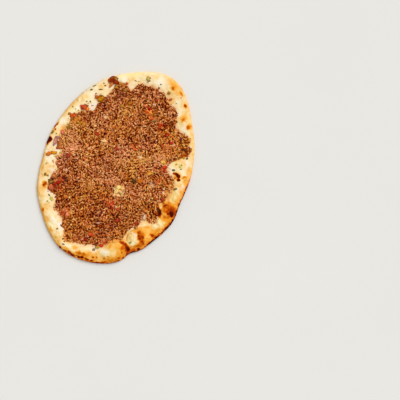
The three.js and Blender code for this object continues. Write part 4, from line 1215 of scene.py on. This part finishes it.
def bits(name, listed, count, sizes, palette, seed, level, stuff, flat=0.45, over=1.5, bend=0.12, deep=0.25,
         lift=1.0, thin=0.28, tilt=0.22, grow=1.0):
    """Small pieces: those listed (x, y, half length, half width in pixels, turn, colour), then scattered ones."""
    rng = np.random.default_rng(seed)
    at, half, turn, tint, two = [], [], [], [], []
    for px, py, a, b, deg, colour in listed:
        mx, my = at_px(px, py)
        at.append((mx, my))
        half.append((a * grow * PIXEL, b * grow * PIXEL, max(thin, flat * b * PIXEL)))
        turn.append(rad(deg) + TURN)
        tint.append(linear(*colour) * lift)
        two.append(linear(*colour) * lift * rng.uniform(0.7, 1.3))
    P = rng.uniform((-96, -131), (96, 131), (count * 4, 2))
    depth, _ = mince_depth(P[:, 0], P[:, 1])
    P = P[depth > over][:count]
    for x, y in P:
        size = rng.uniform(*sizes)
        one = linear(*palette[rng.integers(len(palette))]) * rng.uniform(0.8, 1.15)
        at.append((x, y))
        half.append((size, size * rng.uniform(0.55, 0.95), max(0.25, flat * size * rng.uniform(0.8, 1.2))))
        turn.append(rng.uniform(0, 6.283))
        tint.append(one)
        two.append(linear(*palette[rng.integers(len(palette))]))
    at, half = np.array(at), np.array(half)
    z = rest_height(at[:, 0], at[:, 1]) + half[:, 2] * (1 - deep * 2)
    on_mince = mince_depth(at[:, 0], at[:, 1])[0] > 0
    z = z + np.where(on_mince, 0.35, 0.0)
    ob = lumps(name, level, np.column_stack([at, z]), half, turn, tilt, 0.42, 0.8, seed, tint,
               second=two, bend=rng.normal(0, bend, len(at)), painted_side_shade=0.50, cuts=7 if level > 2 else 0)
    ob.data.materials.append(stuff)
    return ob


bits("tomato_bits", [
    (100.9, 246.0, 2.2, 1.6, 30, (196, 48, 22)), (103.2, 242.0, 3.4, 0.9, 52, (232, 140, 104)),
    (92.0, 235.3, 2.2, 1.7, 0, (206, 70, 30)), (84.8, 239.3, 2.4, 1.8, -20, (142, 30, 20)),
    (97.0, 134.0, 2.0, 1.6, 0, (190, 60, 28)), (167.0, 135.0, 2.4, 1.8, 30, (168, 34, 14)),
    (116.0, 149.0, 2.6, 2.2, 0, (176, 56, 34)), (109.5, 147.0, 1.8, 1.6, 0, (142, 28, 16)),
    (68.6, 155.6, 2.8, 1.8, 35, (196, 64, 42)), (163.0, 200.0, 2.0, 1.6, 0, (176, 60, 34)),
    (90.0, 234.0, 2.0, 1.5, 0, (214, 84, 30)), (84.0, 240.0, 1.8, 1.4, 0, (150, 36, 20)),
    (117.0, 220.0, 2.0, 1.7, 10, (184, 58, 38)), (62.3, 132.4, 1.8, 2.6, 15, (224, 120, 96)),
    (60.4, 203.6, 1.4, 1.1, 0, (206, 128, 96)),
    (151.0, 118.0, 3.0, 1.8, 20, (226, 108, 46)), (144.4, 105.6, 2.2, 1.4, -20, (214, 112, 86)),
    (171.0, 143.0, 2.2, 1.8, 0, (170, 40, 26)), (163.0, 146.0, 1.8, 1.5, 0, (190, 72, 30)),
    (59.5, 187.5, 2.0, 1.6, 0, (176, 44, 26)), (63.0, 180.0, 1.6, 1.4, 0, (196, 76, 44)),
    (112.0, 203.0, 2.4, 1.8, 20, (196, 58, 28)), (117.5, 209.0, 1.8, 1.5, 0, (188, 66, 44)),
    (104.6, 243.0, 1.5, 1.1, 40, (206, 80, 40)), (127.0, 83.4, 1.5, 1.3, 0, (206, 84, 30)),
    (124.5, 85.0, 1.1, 1.0, 0, (214, 120, 60)), (158.8, 88.0, 1.2, 1.0, 0, (196, 110, 40)),
    (141.0, 147.5, 2.4, 1.6, -10, (196, 76, 40)),
    (67.0, 214.0, 2.6, 2.2, 0, (232, 136, 100)), (52.8, 183.0, 2.0, 1.4, 60, (176, 60, 34)),
    (156.5, 100.0, 2.0, 1.5, 10, (166, 60, 36)), (170.4, 99.5, 1.8, 1.3, 30, (190, 92, 60)),
    (187.6, 147.8, 1.3, 1.0, 0, (198, 90, 56)), (176.6, 147.2, 1.5, 1.1, 0, (220, 130, 90)),
], 30, (0.8, 1.5), [(186, 76, 26), (174, 60, 16), (200, 100, 44), (206, 116, 58), (140, 44, 10)], 501, 3,
    TOMATO)
bits("pepper_bits", [
    (68.4, 126.9, 2.2, 1.5, 20, (156, 116, 24)), (96.0, 93.4, 1.0, 0.8, 0, (104, 64, 40)), (95.5, 95.4, 1.2, 0.9, 70, (226, 124, 88)),
    (148.0, 78.8, 2.4, 2.3, 40, (204, 180, 86)), (149.6, 80.8, 1.2, 0.8, -30, (150, 112, 44)),
    (168.9, 93.0, 1.6, 1.5, 0, (160, 118, 36)), (134.0, 181.0, 2.0, 1.6, 20, (78, 62, 26)),
    (140.0, 181.5, 2.6, 1.8, 40, (196, 104, 20)), (149.0, 173.5, 2.6, 1.9, 0, (236, 156, 60)),
    (151.0, 173.0, 1.6, 1.3, 0, (206, 176, 70)), (79.0, 123.0, 2.6, 1.4, -20, (176, 128, 36)),
    (155.0, 115.0, 1.8, 1.3, 0, (170, 124, 44)), (51.2, 199.0, 2.3, 1.8, 30, (220, 206, 104)),
    (154.0, 121.5, 1.4, 1.2, 0, (110, 92, 44)), (130.2, 242.6, 1.4, 1.1, 0, (186, 176, 66)),
    (180.4, 166.6, 1.6, 1.4, 0, (222, 200, 104)), (71.4, 118.6, 2.2, 1.4, 20, (156, 108, 34)),
    (84.0, 124.0, 2.4, 1.3, 30, (206, 140, 40)), (116.5, 86.5, 2.6, 1.2, 60, (186, 140, 44)),
    (121.5, 105.8, 2.2, 1.4, 0, (168, 118, 34)), (83.5, 196.0, 1.8, 1.4, 0, (186, 132, 40)),
    (80.5, 198.5, 1.6, 1.2, 20, (176, 128, 36)), (56.0, 156.0, 2.4, 0.9, 10, (214, 176, 74)),
    (94.0, 236.0, 1.6, 1.2, 0, (206, 130, 40)), (178.0, 153.0, 1.5, 1.1, 20, (190, 140, 36)),
    (183.5, 158.5, 2.4, 1.0, 60, (214, 160, 40)), (93.5, 250.0, 1.5, 0.9, 0, (170, 134, 56)),
    (125.5, 90.5, 1.6, 1.2, 0, (176, 136, 60)), (129.5, 103.5, 1.4, 1.2, 0, (196, 120, 30)),
], 18, (0.8, 1.5), [(176, 112, 34), (160, 104, 34), (200, 130, 44), (130, 84, 28), (200, 140, 60)], 502, 3,
    PEPPER)
bits("onion_bits", [
    (59.3, 146.8, 2.6, 2.0, 20, (176, 96, 50)), (105.2, 117.1, 1.9, 1.4, 20, (246, 196, 150)),
    (104.0, 141.0, 3.4, 1.5, -15, (244, 190, 124)), (152.0, 185.5, 2.6, 1.5, -20, (232, 190, 150)),
    (165.0, 166.0, 2.0, 1.4, 30, (236, 180, 120)), (144.5, 217.5, 1.5, 2.6, -20, (244, 200, 170)),
    (140.0, 157.0, 2.2, 1.5, 0, (240, 206, 160)), (154.5, 104.5, 1.9, 1.1, -20, (236, 196, 160)),
    (173.5, 145.5, 2.4, 1.5, 20, (226, 178, 140)), (90.5, 129.5, 1.6, 1.2, 0, (240, 190, 130)),
    (115.0, 131.0, 1.8, 1.4, 0, (240, 190, 132)), (89.0, 148.5, 2.2, 1.2, 30, (236, 170, 120)),
    (72.0, 149.0, 3.0, 1.4, 10, (240, 160, 120)), (116.0, 207.5, 1.0, 2.0, 0, (240, 196, 168)),
    (163.0, 192.5, 1.7, 1.5, 0, (240, 190, 160)), (164.0, 189.0, 1.4, 1.3, 0, (232, 176, 140)),
    (119.5, 187.5, 2.6, 1.8, 40, (246, 206, 140)), (125.0, 110.0, 1.9, 1.2, 30, (226, 160, 120)),
    (93.5, 124.5, 2.4, 1.0, -30, (240, 180, 110)), (66.0, 170.0, 1.8, 1.3, 60, (232, 180, 160)),
    (98.5, 223.0, 1.6, 1.2, 0, (214, 158, 140)), (181.5, 139.2, 1.5, 1.3, 0, (120, 60, 50)),
], 30, (0.8, 1.5), [(230, 170, 112), (224, 158, 100), (236, 182, 126), (214, 144, 90), (220, 150, 80)], 503, 3,
    ONION, flat=0.36)
bits("herb_flecks", [
    (100.8, 89.4, 1.9, 0.48, 0, (84, 72, 16)), (91.6, 89.6, 1.2, 0.7, 20, (112, 92, 30)),
    (95.0, 85.4, 2.4, 0.50, 26, (140, 116, 40)), (105.2, 85.6, 0.8, 0.7, 0, (104, 84, 24)),
    (103.9, 83.2, 0.9, 0.5, 0, (150, 120, 60)), (86.5, 101.4, 0.8, 0.6, 30, (150, 130, 60)), (88.3, 103.3, 1.0, 0.30, 40, (190, 168, 90)),
    (90.4, 101.4, 0.6, 0.8, 0, (60, 50, 30)), (56.6, 133.6, 0.7, 0.5, 30, (150, 130, 60)),
    (52.6, 132.0, 1.7, 0.6, 50, (110, 104, 50)), (69.3, 113.6, 1.3, 1.0, 0, (156, 104, 24)),
    (67.6, 123.8, 0.9, 0.7, 40, (186, 180, 90)), (135.6, 80.7, 1.2, 0.4, -30, (150, 120, 60)), (54.1, 207.6, 0.7, 0.6, 0, (150, 100, 60)),
    (160.7, 84.4, 0.8, 0.6, 0, (112, 98, 60)), (147.8, 82.0, 0.8, 0.6, 0, (196, 160, 60)),
    (57.6, 228.6, 1.0, 0.8, 0, (140, 130, 60)), (63.4, 244.2, 1.2, 0.7, -20, (130, 110, 50)),
    (93.6, 249.6, 1.0, 1.3, 20, (120, 100, 44)), (98.0, 247.6, 1.7, 0.6, 20, (150, 122, 60)),
    (62.6, 238.8, 1.8, 0.7, 20, (120, 84, 40)), (64.0, 241.5, 1.0, 0.5, 0, (150, 120, 70)),
    (173.6, 170.2, 1.5, 0.9, 10, (110, 96, 50)), (175.4, 189.2, 1.7, 0.8, 10, (116, 96, 54)),
    (181.6, 165.4, 0.8, 0.6, 0, (110, 110, 40)), (180.8, 169.4, 0.9, 0.5, 0, (150, 140, 60)),
    (176.5, 164.5, 0.9, 0.5, 40, (176, 160, 70)), (187.0, 158.6, 1.2, 0.8, 60, (104, 66, 34)),
    (190.0, 149.5, 1.6, 1.3, 10, (100, 30, 20)), (181.0, 97.5, 0.6, 0.6, 0, (196, 160, 90)),
    (47.5, 201.0, 0.8, 0.6, 0, (176, 160, 90)), (45.2, 174.0, 1.3, 1.0, 40, (150, 112, 40)),
    (47.5, 175.5, 1.0, 0.8, 0, (170, 130, 50)), (60.5, 152.5, 1.2, 0.8, 0, (206, 176, 66)),
    (46.5, 163.5, 0.7, 0.7, 0, (200, 160, 80)), (53.5, 162.5, 0.5, 0.5, 0, (220, 140, 90)),
    (60.0, 157.0, 1.6, 0.6, -30, (196, 170, 80)), (57.0, 195.0, 1.2, 0.6, -10, (96, 80, 50)),
    (49.2, 195.0, 1.2, 0.6, -50, (96, 86, 56)), (112.4, 89.6, 1.0, 0.6, 40, (206, 140, 60)),
    (176.3, 103.3, 0.6, 0.4, 0, (176, 140, 80)),
], 50, (0.45, 0.95), [(80, 66, 20), (104, 80, 24), (70, 50, 18), (116, 86, 30)], 504, 2, HERB, flat=0.30, deep=0.10,
    lift=1.0, thin=0.26, tilt=0.05, grow=1.2)
bits("dark_flecks", [
    (60.0, 247.4, 0.9, 0.6, 0, (80, 26, 4)), (134.8, 106.0, 1.0, 0.8, 0, (76, 20, 4)),
    (72.8, 106.8, 0.6, 0.5, 0, (90, 60, 30)), (76.5, 255.5, 0.8, 0.6, 0, (70, 20, 4)),
], 40, (0.5, 1.0), [(84, 22, 2), (70, 14, 2), (104, 34, 8), (60, 12, 2)], 505, 2, CHARRED, deep=0.3)

# ------------------------------------------------------------------ floor, light, end


def floor_material():
    n = Nodes("pale_floor")
    cloud = n.noise(6, 3, 0.5)
    colour = n.ramp(cloud, [(0.30, (0.800, 0.793, 0.765)), (0.70, (0.812, 0.805, 0.777))])
    normal = n.bump(n.noise(900, 2), 0.03, 0.0002)
    return n.finish(colour, n.math("MULTIPLY_ADD", cloud, 0.1, 0.7), normal, Specular_IOR_Level=0.0)


bpy.ops.mesh.primitive_plane_add(size=60, location=(0, 0, -0.0001))
floor = bpy.context.object
floor.name = "floor"
floor.data.materials.append(floor_material())

SKY, SUN = 0.50, 1.93          # light from the sky, and from a broad lamp overhead
world = bpy.data.worlds.new("sky")
bpy.context.scene.world = world
world.use_nodes = True
wt = world.node_tree
wt.nodes.clear()
geo = wt.nodes.new("ShaderNodeTexCoord")
part = wt.nodes.new("ShaderNodeSeparateXYZ")
wt.links.new(geo.outputs["Generated"], part.inputs[0])
ramp = wt.nodes.new("ShaderNodeValToRGB")
r = ramp.color_ramp
r.elements[0].position, r.elements[0].color = 0.16, (0.812, 0.805, 0.777, 1)
r.elements[1].position, r.elements[1].color = 0.27, (SKY, SKY * 0.995, SKY * 0.985, 1)
wt.links.new(part.outputs["Z"], ramp.inputs[0])
back = wt.nodes.new("ShaderNodeBackground")
wt.links.new(ramp.outputs[0], back.inputs["Color"])
out = wt.nodes.new("ShaderNodeOutputWorld")
wt.links.new(back.outputs[0], out.inputs[0])

lamp = bpy.data.lights.new("lamp", "SUN")
lamp.energy, lamp.angle = SUN, rad(50)
lamp.color = (1.0, 0.995, 0.985)
lamp_ob = bpy.data.objects.new("lamp", lamp)
lamp_ob.rotation_euler = (rad(36), 0, TURN + rad(135))
bpy.context.scene.collection.objects.link(lamp_ob)

view = bpy.context.scene.view_settings
view.view_transform, view.look, view.exposure, view.gamma = "Standard", "None", 0.0, 1.0
